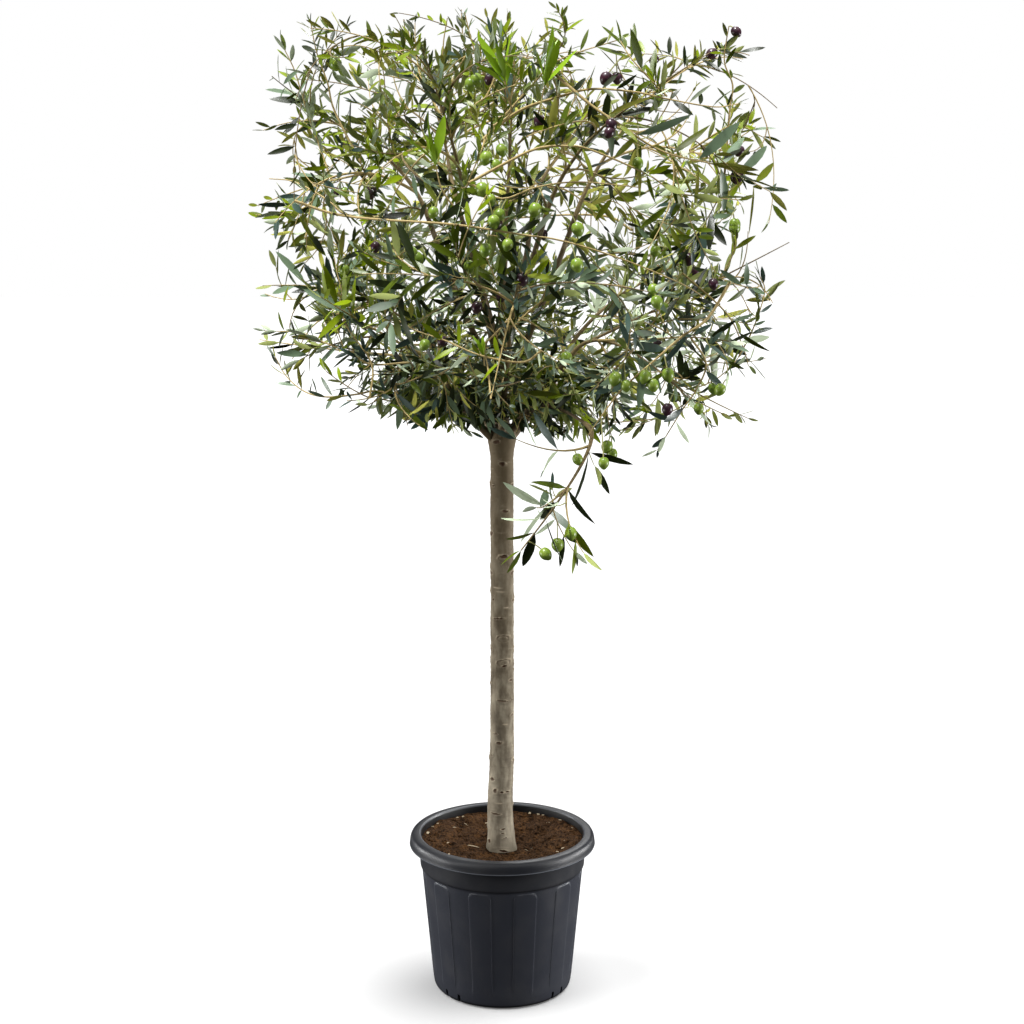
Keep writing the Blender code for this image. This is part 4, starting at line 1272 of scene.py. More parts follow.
def reach(twigs, tip):
    """A twig from the handiest place on the twigs grown so far, leaving at an easy angle."""
    best = None
    for twig in twigs:
        for index in range(1, len(twig.nodes) - 1):
            to_tip = tip - twig.nodes[index]
            length = np.linalg.norm(to_tip)
            cost = length * (FAR_COST - TURN_SAVING * twig.heading(index) @ to_tip / length)
            if best is None or cost < best[0]:
                best = (cost, twig, index)
    _, twig, index = best
    start = twig.nodes[index]
    length = np.linalg.norm(tip - start)
    leave = unit(twig.heading(index) + unit(tip - start) + TWIG_LIFT * UP)
    thick = min(twig.radii[index] * FORK_TAPER, TWIG_RADIUS + TWIG_GIRTH * length)
    lean = start + leave * (0.5 * length)
    fine = max(5, int(length / 0.014))
    return Twig(
        bend(start, lean, tip, SOURCE_STEPS),
        tapered(thick, TWIG_RADIUS * TIP_TAPER, SOURCE_STEPS),
        bend(start, lean, tip, fine),
        tapered(thick, TWIG_RADIUS * 0.45, fine),
        rank=1,
    )


def stem_of(mass, space):
    """The mass's own stem, from its bough's tip through its site towards the outline."""
    foot = mass.bough.tip() + mass.bough.heading() * GAP
    start = foot + mass.bough.heading() * STEM_SEAT
    far = mass.site.copy()
    for n in range(1, 40):
        ahead = start + (mass.site - start) * (1 + 0.03 * n)
        out = outline_share(mass, ahead) > STEM_REACH
        if out or border_room(mass, space, ahead[None])[0] < STEM_ROOM:
            break
        far = ahead
    lean = start + mass.bough.heading() * (np.linalg.norm(far - start) * 0.4)
    nodes = np.concatenate((foot[None], bend(start, lean, far, 6)))
    root = mass.bough.tip()[None] - mass.bough.heading() * 0.004
    line = np.concatenate((root, bend(start, lean, far, 24)))
    radii = tapered(STEM_RADIUS, TWIG_RADIUS, 7)
    return Twig(nodes, radii, line, tapered(STEM_RADIUS * 1.05, TWIG_RADIUS * 0.7, 25), rank=0)


def grow(mass, space):
    """The mass's stem and twigs. Each twig reaches the roomiest point that is left."""
    rng = random.Random(mass.seed)
    twigs = [stem_of(mass, space)]
    taken = list(twigs[0].nodes)
    for number in range(mass.twigs):
        tip = next_tip(rng, mass, space, taken, ragged=number >= SOURCE_TWIGS)
        if tip is None:
            break
        twig = reach(twigs, tip)
        if is_free(mass, space, twig.nodes[1:], TWIG_ROOM):
            twigs.append(twig)
            taken += list(twig.nodes[1:])
    return twigs


# ---------------- finer growth


@dataclass
class Arch:
    """A long shoot that arches over the crown: its mass, its leaves and its way in mm."""

    mass: str
    leaf_size: float
    spacing: float
    way: tuple
    new_growth: bool = False
    thick: float = 0.0026


ARCHES = (
    Arch("low_front", 1.5, 0.030, ((-262, -320, 1416), (-194, -360, 1408), (-73, -400, 1401),
         (33, -420, 1386), (93, -420, 1377), (185, -410, 1349), (276, -370, 1311),
         (319, -340, 1286)), thick=0.0023),
    Arch("high_front_right", 1.3, 0.026, ((28, -300, 1572), (89, -330, 1592), (139, -350, 1603),
         (205, -360, 1598), (255, -350, 1588), (329, -310, 1578), (371, -280, 1584))),
    Arch("high_front_right", 1.35, 0.028, ((2, -380, 1489), (54, -400, 1513), (100, -410, 1517),
         (137, -410, 1511), (221, -390, 1476), (274, -360, 1447), (375, -280, 1436))),
    Arch("high_front_right", 1.4, 0.026, ((136, -360, 1580), (176, -370, 1553), (222, -370, 1522),
         (264, -360, 1504), (345, -300, 1487), (434, -200, 1449))),
    Arch("low_front", 1.1, 0.034, ((2, -380, 1439), (54, -390, 1456), (119, -390, 1464),
         (212, -370, 1456)), thick=0.0019),
    Arch("high_front_right", 1.1, 0.022, ((257, -300, 1595), (238, -310, 1612),
         (202, -300, 1651), (186, -280, 1679)), thick=0.0018),
    Arch("high_front_right", 1.2, 0.020, ((362, -240, 1573), (366, -240, 1614),
         (352, -240, 1652), (358, -240, 1704)), thick=0.0019),
    Arch("high_front_right", 1.2, 0.026, ((49, -260, 1613), (91, -270, 1651),
         (188, -250, 1684)), thick=0.0018),
    Arch("low_front_right", 1.45, 0.040, ((324, -330, 1254), (282, -345, 1226),
         (239, -350, 1189), (191, -350, 1146), (162, -345, 1107), (138, -330, 1069)), thick=0.0025),
    Arch("low_front_right", 1.35, 0.026, ((330, -260, 1177), (316, -260, 1135),
         (293, -250, 1098), (256, -240, 1033)), thick=0.0019),
    Arch("low_front_right", 1.4, 0.024, ((366, -220, 1254), (396, -200, 1199),
         (409, -180, 1164)), thick=0.0017),
    Arch("low_front_right", 1.1, 0.018, ((421, -140, 1224), (441, -120, 1282),
         (432, -120, 1309)), thick=0.0014),
    Arch("low_front", 1.3, 0.030, ((33, -380, 1190), (-32, -390, 1202), (-86, -380, 1224),
         (-130, -360, 1237), (-165, -340, 1255)), thick=0.0020),
    Arch("low_front_left", 0.85, 0.020, ((-208, -260, 1175), (-244, -250, 1228),
         (-255, -240, 1251), (-262, -230, 1292)), thick=0.0018),
    Arch("low_front_left", 0.9, 0.017, ((-208, -260, 1175), (-244, -250, 1192),
         (-289, -220, 1207), (-331, -190, 1220), (-395, -140, 1219)), thick=0.0018),
    Arch("low_front_left", 0.95, 0.018, ((-212, -220, 1127), (-235, -220, 1122),
         (-286, -200, 1115), (-326, -170, 1120), (-360, -140, 1142), (-381, -120, 1173)),
         thick=0.0019),
    Arch("high_left", 1.0, 0.016, ((-276, -100, 1579), (-287, -100, 1625), (-304, -100, 1674),
         (-313, -100, 1722)), thick=0.0019),
    Arch("high_left", 1.15, 0.016, ((-322, -50, 1566), (-333, -50, 1599), (-347, -50, 1648),
         (-367, -50, 1690)), thick=0.0018),
    Arch("high_front_left", 1.5, 0.018, ((-248, -220, 1412), (-273, -210, 1430),
         (-302, -190, 1448), (-341, -160, 1465), (-384, -120, 1469)), thick=0.0019),
    Arch("high_front_left", 0.9, 0.014, ((-32, -100, 1646), (-49, -100, 1694),
         (-60, -100, 1738)), thick=0.0017),
    Arch("high_front_left", 0.85, 0.014, ((-100, -50, 1660), (-96, -50, 1700),
         (-90, -50, 1733)), thick=0.0016),
    Arch("high_left", 0.85, 0.015, ((-170, 0, 1668), (-163, 0, 1705), (-166, 0, 1735)),
         thick=0.0015),
    Arch("top", 0.85, 0.014, ((-45, -80, 1640), (-62, -80, 1692), (-66, -80, 1744)), thick=0.0016),
    Arch("top", 0.85, 0.014, ((-18, -60, 1650), (-14, -60, 1700), (-28, -60, 1746)), thick=0.0015),
    Arch("top", 0.80, 0.014, ((22, -60, 1650), (8, -60, 1695), (12, -60, 1736)), thick=0.0015),
    Arch("high_front_left", 1.8, 0.006, ((16, -335, 1570), (6, -350, 1618)), True, 0.0018),
    Arch("high_front_right", 1.7, 0.006, ((60, -335, 1575), (70, -350, 1618)), True, 0.0016),
    Arch("high_front_left", 1.5, 0.006, ((-90, -340, 1452), (-101, -340, 1497)), True, 0.0016),
    Arch("low_front", 0.7, 0.006, ((-20, -385, 1185), (-26, -385, 1206)), True, 0.0014),
    Arch("high_back_right", 1.4, 0.026, ((-60, 300, 1560), (60, 350, 1600), (180, 350, 1580),
         (290, 300, 1520))),
    Arch("low_back", 1.5, 0.028, ((190, 340, 1400), (40, 410, 1395), (-120, 400, 1370),
         (-250, 330, 1310))),
    Arch("low_back_left", 1.3, 0.026, ((-250, 120, 1240), (-340, 170, 1210), (-390, 190, 1140))),
    Arch("low_back_right", 1.4, 0.028, ((300, 150, 1260), (390, 190, 1220), (420, 200, 1130))),
    Arch("high_right", 1.3, 0.024, ((330, 40, 1520), (400, 30, 1560), (450, 20, 1540))),
)
SIDE_SHOOT_SPACING = 0.044
BOUGH_SHOOTS = 38
HANGING_LEAF_SIZE, HANGING_SPACING = 1.55, 0.030
OLIVE_DROP = 0.020  # how far an olive hangs below its twig


def smooth_way(points, steps):
    """A curve through all the points, with this many steps between each two."""
    padded = np.concatenate((2 * points[:1] - points[1:2], points, 2 * points[-1:] - points[-2:-1]))
    line = [points[:1]]
    for a, b, c, d in zip(padded, padded[1:], padded[2:], padded[3:]):
        t = np.linspace(0, 1, steps + 1)[1:, None]
        line.append(
            0.5 * (2 * b + (c - a) * t + (2 * a - 5 * b + 4 * c - d) * t**2
                   + (3 * b - a - 3 * c + d) * t**3)
        )
    return np.concatenate(line)


def arching_shoot(arch, nodes):
    """The arch, led back to the handiest of the crown's nodes, which lies near and behind it."""
    way = np.array(arch.way, float) / 1000
    away = way[0] - nodes
    distance = np.maximum(np.linalg.norm(away, axis=1), 0.02)
    turn = away @ unit(way[1] - way[0]) / distance
    start = nodes[np.argmin(distance * (2.2 - 1.6 * turn))]
    points = np.concatenate((start[None], way))
    low, high = np.array(CAD_LOW) + MARGIN, np.array(CAD_HIGH) - MARGIN
    line = np.clip(smooth_way(points, 6), low, high)
    radii = tapered(arch.thick, 0.0008, len(line) - 1)
    return Twig(points, tapered(arch.thick, 0.0012, len(points) - 1), line, radii, 3,
                arch.leaf_size, arch.new_growth, arch.spacing)


def place_along(line, distance):
    """The point and the heading at this distance along the line."""
    steps = np.linalg.norm(np.diff(line, axis=0), axis=1)
    passed = np.concatenate(((0.0,), np.cumsum(steps)))
    index = int(min(np.searchsorted(passed, distance, side="right") - 1, len(steps) - 1))
    share = min(1.0, (distance - passed[index]) / steps[index])
    start, end = line[index], line[index + 1]
    return start + (end - start) * share, (end - start) / steps[index]


def length_of(line):
    return float(np.linalg.norm(np.diff(line, axis=0), axis=1).sum())


def swing_round(heading, turn):
    """A direction across the heading, at this turn round it."""
    first = unit(np.cross(heading, (0.12, 0.31, 0.94)))
    return first * math.cos(turn) + np.cross(heading, first) * math.sin(turn)


def side_shoots(rng, mass, space, twig):
    """Short shoots along a twig, at alternate sides, that turn up towards the light."""
    total = length_of(twig.line)
    at = total * (0.30 if twig.rank == 0 else 0.22)
    turn = rng.uniform(0, 2 * math.pi)
    while at < total * 0.96:
        start, heading = place_along(twig.line, at)
        spread_angle = math.radians(rng.uniform(34, 62))
        side = swing_round(heading, turn)
        leave = unit(heading * math.cos(spread_angle) + side * math.sin(spread_angle))
        length = rng.uniform(0.028, 0.092) * (1.15 if twig.rank == 0 else 1.0)
        up = rng.uniform(0.05, 0.45) + 0.7 * float(smoothstep(start[2], 1.42, 1.66))
        skip = rng.random() < (0.40 if twig.rank == 3 else openness(start))
        for share in (1.0, 0.7, 0.45):
            reach_out = length * share
            tip = start + unit(leave + up * UP) * reach_out
            line = bend(start, start + leave * 0.5 * reach_out, tip, 5)
            body = line[2:]
            fits = (outline_share(mass, body) <= ragged_limit(body)).all()
            fits = fits and (border_room(mass, space, body) >= -OVERLAP / 2).all()
            if not skip and fits and (limb_room(space, body) > 0.003).all():
                radii = tapered(0.0011, 0.0006, 5)
                yield Twig(line, radii, line, radii, 2, twig.leaf_size, False)
                break
        at += SIDE_SHOOT_SPACING * rng.uniform(0.65, 1.5)
        turn += math.pi * rng.uniform(0.7, 1.3)


def bough_shoots(rng, mass, space):
    """Leafy shoots that stand out of the mass's own bough and hang round the trunk's head."""
    line = mass.bough.redrawn(24)
    total, made = length_of(line), []
    for number in range(BOUGH_SHOOTS):
        start, heading = place_along(line, total * (0.30 + 0.68 * number / BOUGH_SHOOTS))
        for _ in range(5):
            side = swing_round(heading, rng.uniform(0, 2 * math.pi))
            leave = unit(heading * 0.4 + side)
            length = rng.uniform(0.05, 0.12)
            tip = start + unit(leave - rng.uniform(-0.2, 0.7) * UP) * length
            shoot = bend(start, start + leave * 0.5 * length, tip, 7)
            clear = (limb_room(space, shoot[2:]) > 0.002).all()
            if clear and (outline_share(mass, shoot[2:]) < 0.97).all():
                radii = tapered(0.0014, 0.0006, 7)
                made.append(Twig(shoot, radii, shoot, radii, 2, rng.choice((0.9, 1.1, 1.4))))
                break
    return made


@dataclass
class Crown:
    """All that grows: the masses, the space of each, and the twigs of each by its name."""

    masses: list
    spaces: dict
    twigs: dict


@functools.lru_cache(maxsize=1)
def whole_crown():
    """Grows the solids' stems and twigs in every mass first, and then the finer ones on them."""
    trunk, leader, low, high, hanging = grown_limbs()
    limbs = [trunk, leader, hanging, *low, *high]
    masses = []
    for ring, names, boughs, first, height, seed, count in (
        ("low", LOW_NAMES, low, 30, LOW_RING_HEIGHT, 11, LOW_TWIGS),
        ("high", HIGH_NAMES, high, 0, HIGH_RING_HEIGHT, 31, HIGH_TWIGS),
    ):
        for number, (name, bough) in enumerate(zip(names, boughs)):
            up = height + RING_STAGGER * (-1) ** number
            site = around(60 * number + first, RING_RADIUS, up) + SITE_SHIFT
            masses.append(Mass(f"{ring}_{name}", bough, site, seed + number, count))
    masses.append(Mass("top", leader, TOP_SITE, 51, TOP_TWIGS))
    masses.append(
        Mass("hanging", hanging, HANGING_SITE, 61, HANGING_TWIGS, HANGING_SITE, HANGING_HALF, 0.0)
    )
    spaces, twigs = {}, {}
    for mass in masses:
        spaces[mass.name] = space_for(mass, masses, [b for b in limbs if b is not mass.bough])
        twigs[mass.name] = grow(mass, spaces[mass.name])
    nodes = np.concatenate([twig.nodes[1:] for grown in twigs.values() for twig in grown])
    for mass in masses:
        space, grown = spaces[mass.name], twigs[mass.name]
        rng = random.Random(mass.seed + 2000)
        arches = [arching_shoot(arch, nodes) for arch in ARCHES if arch.mass == mass.name]
        shoots = [s for twig in (*grown, *arches) if not twig.new_growth
                  for s in side_shoots(rng, mass, space, twig)]
        if mass.name.startswith("low"):
            shoots += bough_shoots(rng, mass, space)
        if mass.name == "hanging":
            shoots = shoots[::4]
            for twig in (*grown, *shoots):
                twig.leaf_size, twig.spacing = HANGING_LEAF_SIZE, HANGING_SPACING
        spaces[mass.name] = space_for(mass, masses, limbs)
        twigs[mass.name] = [*grown, *arches, *shoots]
    return Crown(masses, spaces, twigs)


# ---------------- leaves

TINTS = ("deep", "olive", "fresh", "dull", "grey", "blue", "lime")
LIME = TINTS.index("lime")
UNDERSIDES = ("silver", "ash", "straw")
HIGH_SHARES = (0.22, 0.36, 0.20, 0.10, 0.08, 0.04, 0.0)  # how often each tint comes, up high
LOW_SHADE_SHARES = (0.35, 0.13, 0.04, 0.08, 0.22, 0.18, 0.0)  # and down low, darker and bluer as painted shade
HIGH_LEAVES = 1.42  # above this height undersides are yellower
ARCH_LEAVES = 0.84  # how long the leaves on arching shoots are, against the usual
HEART_LOSS = 0.30  # and how much shorter those in the heart of the crown are
HIGH_LOSS = 0.24  # and those high up, which also stand closer
MAIN_TINT = 0.72  # how much of a spray has its main tint, and not its second one
LEAF_ROWS = (0.06, 0.24, 0.48, 0.72, 0.90)
ROW_WIDTHS = (0.12, 0.74, 1.00, 0.84, 0.42)


@dataclass
class Leaves:
    """Columns of numbers, one for each leaf."""

    roots: np.ndarray
    directions: np.ndarray
    faces_up: np.ndarray
    lengths: np.ndarray
    widths: np.ndarray
    tints: np.ndarray
    undersides: np.ndarray
    bends: np.ndarray  # droop, sideways bend, fold and twist

    def kept(self, mask):
        return Leaves(*[getattr(self, name)[mask] for name in self.__dataclass_fields__])


def in_heart(point):
    """1 low down in the front middle of the crown, where leaves stay small, and 0 outside it."""
    aside = smoothstep(np.hypot(point[0] - 0.03, (point[2] - 1.17) * 1.3), 0.09, 0.20)
    return float(1 - aside)


def pick_tint(rng, height):
    """A tint for a spray: greener and yellower up high, darker and bluer down low, where the
    darker, bluer mix is painted shade.
    """
    share = float(smoothstep(np.array(height + rng.uniform(-0.10, 0.10)), 1.27, 1.45))
    weights = [h * share + l * (1 - share) for h, l in zip(HIGH_SHARES, LOW_SHADE_SHARES)]
    return rng.choices(range(len(TINTS)), weights)[0]


def leaves_on(rng, foliage, twig, rows):
    """Pairs of leaves from the twig's foot to its tip, each pair across the last."""
    total, height = length_of(twig.line), twig.line[-1][2]
    small = 1 - HIGH_LOSS * float(smoothstep(height, 1.34, 1.56)) * (twig.rank != 3)
    spacing = twig.spacing or foliage.leaf_spacing * small
    bare = {0: 0.45, 1: 0.30, 2: 0.12, 3: 0.20}[twig.rank] * total
    if twig.new_growth:
        bare = max(0.0, total - 0.016)
    back, turn = 0.0, rng.uniform(0, math.pi)
    size = ARCH_LEAVES if twig.rank == 3 else small * (1 - HEART_LOSS * in_heart(twig.line[-1]))
    spray = rng.choice((0.72, 0.85, 1.0, 1.0, 1.15, 1.45)) * twig.leaf_size * size
    tint, other = pick_tint(rng, height), pick_tint(rng, height)
    under = rng.choice((0, 1, 1, 2, 2) if height > HIGH_LEAVES else (0, 0, 1, 1, 2))
    while back < total - bare:
        point, heading = place_along(twig.line, total - max(back, 0.001))
        away = min(1.0, back / 0.045)
        missing = 0.70 * openness(point) if twig.rank == 1 else 0.04
        for half_turn in (0.0, math.pi):
            if rng.random() < 0.04 + missing:
                continue
            angle = math.radians(22 + 30 * away + rng.uniform(-12, 12))
            swing = swing_round(heading, turn + half_turn)
            lift = 0.16 - 0.75 * float(near_head(point))
            direction = heading * math.cos(angle) + swing * math.sin(angle) + lift * UP
            size = spray * (0.62 + 0.42 * away) * rng.uniform(0.82, 1.18)
            if twig.new_growth:
                size = twig.leaf_size * rng.uniform(0.7, 1.1)
                direction = heading + swing * rng.uniform(0.15, 0.75)
            length = foliage.leaf_length * size
            width = foliage.leaf_width * size**0.75 * rng.uniform(0.85, 1.2)
            inward = heading - direction * (heading @ direction)
            tilt = 0.40 * vec(*[rng.gauss(0, 1.0) for _ in range(3)])
            face = unit(inward) * 0.34 + UP * 0.36 + unit(point - CROWN_CENTRE) * 0.52 + tilt
            own = LIME if twig.new_growth else tint if rng.random() < MAIN_TINT else other
            bends = (rng.uniform(-0.02, 0.16), rng.uniform(-0.09, 0.09), rng.uniform(0.10, 0.34),
                     rng.uniform(-0.7, 0.7))
            rows.append((point, unit(direction), face, length, width, own, under, bends))
        back += spacing * rng.uniform(0.8, 1.25)
        turn += math.pi / 2 + rng.uniform(-0.3, 0.3)


def leaf_spines(leaves, shares):
    """Points along the middle of each leaf at these shares of its length."""
    t = np.array(shares)[None, :, None]
    normal = unit(leaves.faces_up - leaves.directions
                  * (leaves.faces_up * leaves.directions).sum(-1, keepdims=True))
    side = np.cross(leaves.directions, normal)
    size = leaves.lengths[:, None, None]
    droop, bow = leaves.bends[:, 0, None, None], leaves.bends[:, 1, None, None]
    spine = leaves.roots[:, None] + leaves.directions[:, None] * t * size
    spine = spine - normal[:, None] * droop * size * t**2 + side[:, None] * bow * size * t**2
    return spine, normal, side


def fitting(leaves, mass, space):
    """The leaves that fit the mass's space, shortened where that makes them fit."""
    kept = np.zeros(len(leaves.lengths), bool)
    size = np.ones(len(leaves.lengths))
    for share in (1.0, 0.8, 0.62):
        trial = Leaves(*[getattr(leaves, name) for name in leaves.__dataclass_fields__])
        trial.lengths = leaves.lengths * share
        spine, _, _ = leaf_spines(trial, (0.33, 0.66, 1.0))
        inside = (spine > np.array(CAD_LOW) + MARGIN) & (spine < np.array(CAD_HIGH) - MARGIN)
        fits = inside.all((1, 2)) & (limb_room(space, spine) > 0.002).all(1)
        if mass.name != "hanging":
            fits &= (outline_share(mass, spine) <= 1.0).all(1)
            fits &= (border_room(mass, space, spine) >= -OVERLAP).all(1)
        size[fits & ~kept] = share
        kept |= fits
    leaves.lengths = leaves.lengths * size
    leaves.widths = leaves.widths * size**0.5
    return leaves.kept(kept)


def gather_leaves(foliage, mass, crown):
    rng = random.Random(mass.seed + 1000)
    rows = []
    for twig in crown.twigs[mass.name]:
        leaves_on(rng, foliage, twig, rows)
    columns = [np.array(column) for column in zip(*rows)]
    return fitting(Leaves(*columns), mass, crown.spaces[mass.name])


def leaf_arrays(leaves, thickness):
    """Points, triangles and material numbers of closed, folded lance-shaped leaves."""
    spine, normal, side = leaf_spines(leaves, (0.0, *LEAF_ROWS, 1.0))
    count, rows = len(leaves.lengths), len(LEAF_ROWS)
    fold, twist = leaves.bends[:, 2, None], leaves.bends[:, 3, None]
    points = np.empty((count, 2 + 4 * rows, 3))
    points[:, 0], points[:, 1] = spine[:, 0], spine[:, -1]
    for row, (share, wide) in enumerate(zip(LEAF_ROWS, ROW_WIDTHS)):
        turn = twist * share
        across = side * np.cos(turn) + normal * np.sin(turn)
        out = normal * np.cos(turn) - side * np.sin(turn)
        half = leaves.widths[:, None] / 2 * wide
        middle, place = spine[:, row + 1], 2 + 4 * row
        points[:, place] = middle - across * half + out * fold * half
        points[:, place + 1] = middle + across * half + out * fold * half
        points[:, place + 2] = middle + out * thickness / 2
        points[:, place + 3] = middle - out * thickness / 2
    left, right, top, below = (lambda r, k=k: 2 + 4 * r + k for k in range(4))
    upper, lower = [], []
    for faces, ridge, flip in ((upper, top, 1), (lower, below, -1)):
        pieces = [(0, ridge(0), left(0)), (0, right(0), ridge(0))]
        for r in range(rows - 1):
            pieces += [(left(r), ridge(r), ridge(r + 1)), (left(r), ridge(r + 1), left(r + 1))]
            pieces += [(ridge(r), right(r), right(r + 1)), (ridge(r), right(r + 1), ridge(r + 1))]
        pieces += [(left(rows - 1), ridge(rows - 1), 1), (ridge(rows - 1), right(rows - 1), 1)]
        faces += [piece[::flip] for piece in pieces]
    shape = np.array(upper + lower)
    faces = (shape[None] + (np.arange(count) * (2 + 4 * rows))[:, None, None]).reshape(-1, 3)
    picks = np.empty((count, len(shape)), int)
    picks[:, : len(upper)] = leaves.tints[:, None]
    bottom = np.where(leaves.tints == LIME, LIME, len(TINTS) + leaves.undersides)
    picks[:, len(upper) :] = bottom[:, None]
    return points.reshape(-1, 3), faces, picks.ravel()


def leaf_materials(foliage):
    """Olive leaves: leathery and half glossy above, felted and matt silver below.

    Every tint is one plain colour, which a spray takes as a whole.
    """
    made = []
    for name in (*TINTS, *UNDERSIDES):
        felted, bloomed = name in UNDERSIDES, name in ("grey", "blue")
        material, tree, shader, place = new_material(
            f"Olive leaf {name}",
            Base_Color=getattr(foliage, name),
            Specular_IOR_Level=0.12 if felted else 0.52 if bloomed else 0.24,
        )
        veins = add_node(tree, "TexNoise", Vector=place, Scale=520.0, Detail=3.0)  # 2 mm apart
        low, high = (0.64, 0.82) if felted else (0.30, 0.46)
        rough = add_node(
            tree, "MapRange", Value=veins, From_Min=0.3, From_Max=0.7, To_Min=low, To_Max=high
        )
        bump = add_node(tree, "Bump", Height=veins, Distance=0.0004, Strength=0.3)
        fill(shader, Roughness=rough, Normal=bump)
        made.append(material)
    return made


class OLIVE_OT_leaves(bpy.types.Operator):
    """Set pairs of leaves on every twig and join those of each mass into one piece"""

    bl_idname = "olive.leaves"
    bl_label = "Leaves"

    def execute(self, context):
        foliage = context.scene.olive_foliage
        crown, materials = whole_crown(), leaf_materials(foliage)
        for mass in crown.masses:
            leaves = gather_leaves(foliage, mass, crown)
            points, faces, picks = leaf_arrays(leaves, foliage.leaf_thickness)
            piece = mesh_piece(mass.name, points, faces, materials, picks)
            shade(piece, 75)
            settle(piece, f"leaves_{mass.name}", "foliage", f"foliage_{mass.name}")
        return {"FINISHED"}


# ---------------- twigs


def twig_wood(name, colour, shade_colour, roughness):
    """Young olive wood: smooth thin bark, mottled with small pores of a second colour."""
    material, tree, shader, place = new_material(name, Roughness=roughness)
    pores = add_node(tree, "TexNoise", Vector=place, Scale=420.0, Detail=3.0, Roughness=0.6)
    share = add_node(tree, "MapRange", Value=pores, From_Min=0.40, From_Max=0.72, To_Max=0.55)
    tint = add_node(tree, "Mix", RGBA, Factor=share, A=colour, B=shade_colour)
    bump = add_node(tree, "Bump", Height=pores, Distance=0.0006, Strength=0.4)
    fill(shader, Base_Color=tint, Normal=bump)
    return material


class OLIVE_OT_twigs(bpy.types.Operator):
    """Sweep the stem, twigs and side shoots of each mass and join them into one piece"""

    bl_idname = "olive.twigs"
    bl_label = "Twigs"

    def execute(self, context):
        bark = context.scene.olive_bark
        woods = [
            twig_wood("Two year olive wood", bark.young, bark.shade, 0.75),
            twig_wood("Last year's olive wood", bark.tan, bark.young, 0.65),
            twig_wood("New olive wood", bark.green, bark.tan, 0.55),
        ]
        crown = whole_crown()
        for mass in crown.masses:
            rng = random.Random(mass.seed + 3000)
            parts, picks = [], []
            for twig in crown.twigs[mass.name]:
                sides = (8, 6, 5, 8)[twig.rank]
                wood = (0, rng.choice((0, 1, 1)), rng.choice((1, 2, 2)), 1)[twig.rank]
                parts.append(tube_arrays(twig.line, twig.line_radii, sides))
                picks.append(np.full(len(parts[-1][1]), wood))
            piece = mesh_piece(mass.name, *joined(parts), woods, np.concatenate(picks))
            shade(piece, 60)
            settle(piece, f"twigs_{mass.name}", "bark", f"foliage_{mass.name}")
        return {"FINISHED"}


# ---------------- olives

GREEN_OLIVES = (  # in mm, each to hang from the twig in front of which it shows
    (-22, 1500), (2, 1512), (-7, 1489), (-28, 1453), (-15, 1437), (-2, 1414), (-10, 1404),
    (2, 1389), (11, 1369), (-23, 1361), (-136, 1356), (-128, 1348), (-103, 1418), (179, 1162),
    (196, 1151), (225, 1165), (238, 1152), (261, 1168), (332, 1147), (343, 1145), (310, 1115),
    (167, 1055), (175, 1043), (162, 1029), (121, 1035), (210, 1492), (236, 1300), (242, 1281),
    (103, 1195), (118, 1338), (-118, 1215), (111, 916), (90, 898), (71, 883), (119, 1393),
    (53, 1422),
)
BLACK_OLIVES = (
    (356, 1687), (297, 1652), (320, 1655), (233, 1646), (160, 1619), (177, 1619), (166, 1538),
    (169, 1550), (60, 1554), (-90, 1220), (329, 1309), (-6, 1400), (0, 1289), (261, 1114),
)
SHOWN_DEPTH = -0.35  # of the plane in which their places are given


def hung_in_view(eye, target, lines):
    """An olive in line with the target as seen from the eye, and the twig that it hangs from."""
    t = (lines[:, 1] - eye[1]) / (target[1] - eye[1])
    there = eye + (target - eye) * t[:, None]
    aside, above = np.abs(lines[:, 0] - there[:, 0]), lines[:, 2] - there[:, 2]
    good = (aside < 0.014) & (above > 0.012) & (above < 0.040) & (lines[:, 1] < -0.05)
    if not good.any():
        good = (aside < 0.035) & (above > 0.005) & (above < 0.075)
    if not good.any():
        return None
    index = np.flatnonzero(good)[np.argmin(lines[good, 1])]
    return there[index] + vec(0, -0.006, 0), lines[index]


def olive_spots(crown, stage):
    """Each olive's middle, the point that its stalk hangs from, and whether it is ripe."""
    spots = []
    eye = np.array(stage.camera)
    lines = np.concatenate(
        [t.line[2:] for twigs in crown.twigs.values() for t in twigs if len(t.line) > 4]
    )
    for targets, ripe in ((GREEN_OLIVES, False), (BLACK_OLIVES, True)):
        for x, z in targets:
            found = hung_in_view(eye, vec(x / 1000, SHOWN_DEPTH, z / 1000), lines)
            if found is not None:
                spots.append((*found, ripe))
    for mass in crown.masses[:-1]:
        rng = random.Random(mass.seed + 4000)
        shoots = [t for t in crown.twigs[mass.name] if t.rank in (1, 2) and len(t.line) > 4]
        for twig in rng.sample(shoots, 4):
            start = twig.line[len(twig.line) // 2]
            for _ in range(rng.choice((1, 1, 2))):
                lean = vec(rng.uniform(-0.011, 0.011), rng.uniform(-0.011, 0.011), 0)
                middle = start - UP * OLIVE_DROP * rng.uniform(0.9, 1.3) + lean
                if outline_share(mass, middle) < 0.95:
                    spots.append((middle, start, rng.random() < 0.3))
    return spots


def olive_shape():
    """An olive of unit length and width, a little pointed below and dimpled at its stalk."""
    deselect()
    bpy.ops.mesh.primitive_uv_sphere_add(segments=14, ring_count=10, radius=0.5)
    ball = bpy.context.object
    edit_all()
    bpy.ops.mesh.quads_convert_to_tris()
    bpy.ops.object.mode_set(mode="OBJECT")
    points, faces = taken_apart(ball)
    height = points[:, 2]
    points[:, :2] *= (1 - 0.10 * smoothstep(-height, 0.1, 0.5) + 0.03 * height)[:, None]
    points[:, 2] -= 0.05 * smoothstep(height, 0.44, 0.5)
    points[:, 2] -= 0.035 * smoothstep(-height, 0.42, 0.5)
    return points, faces


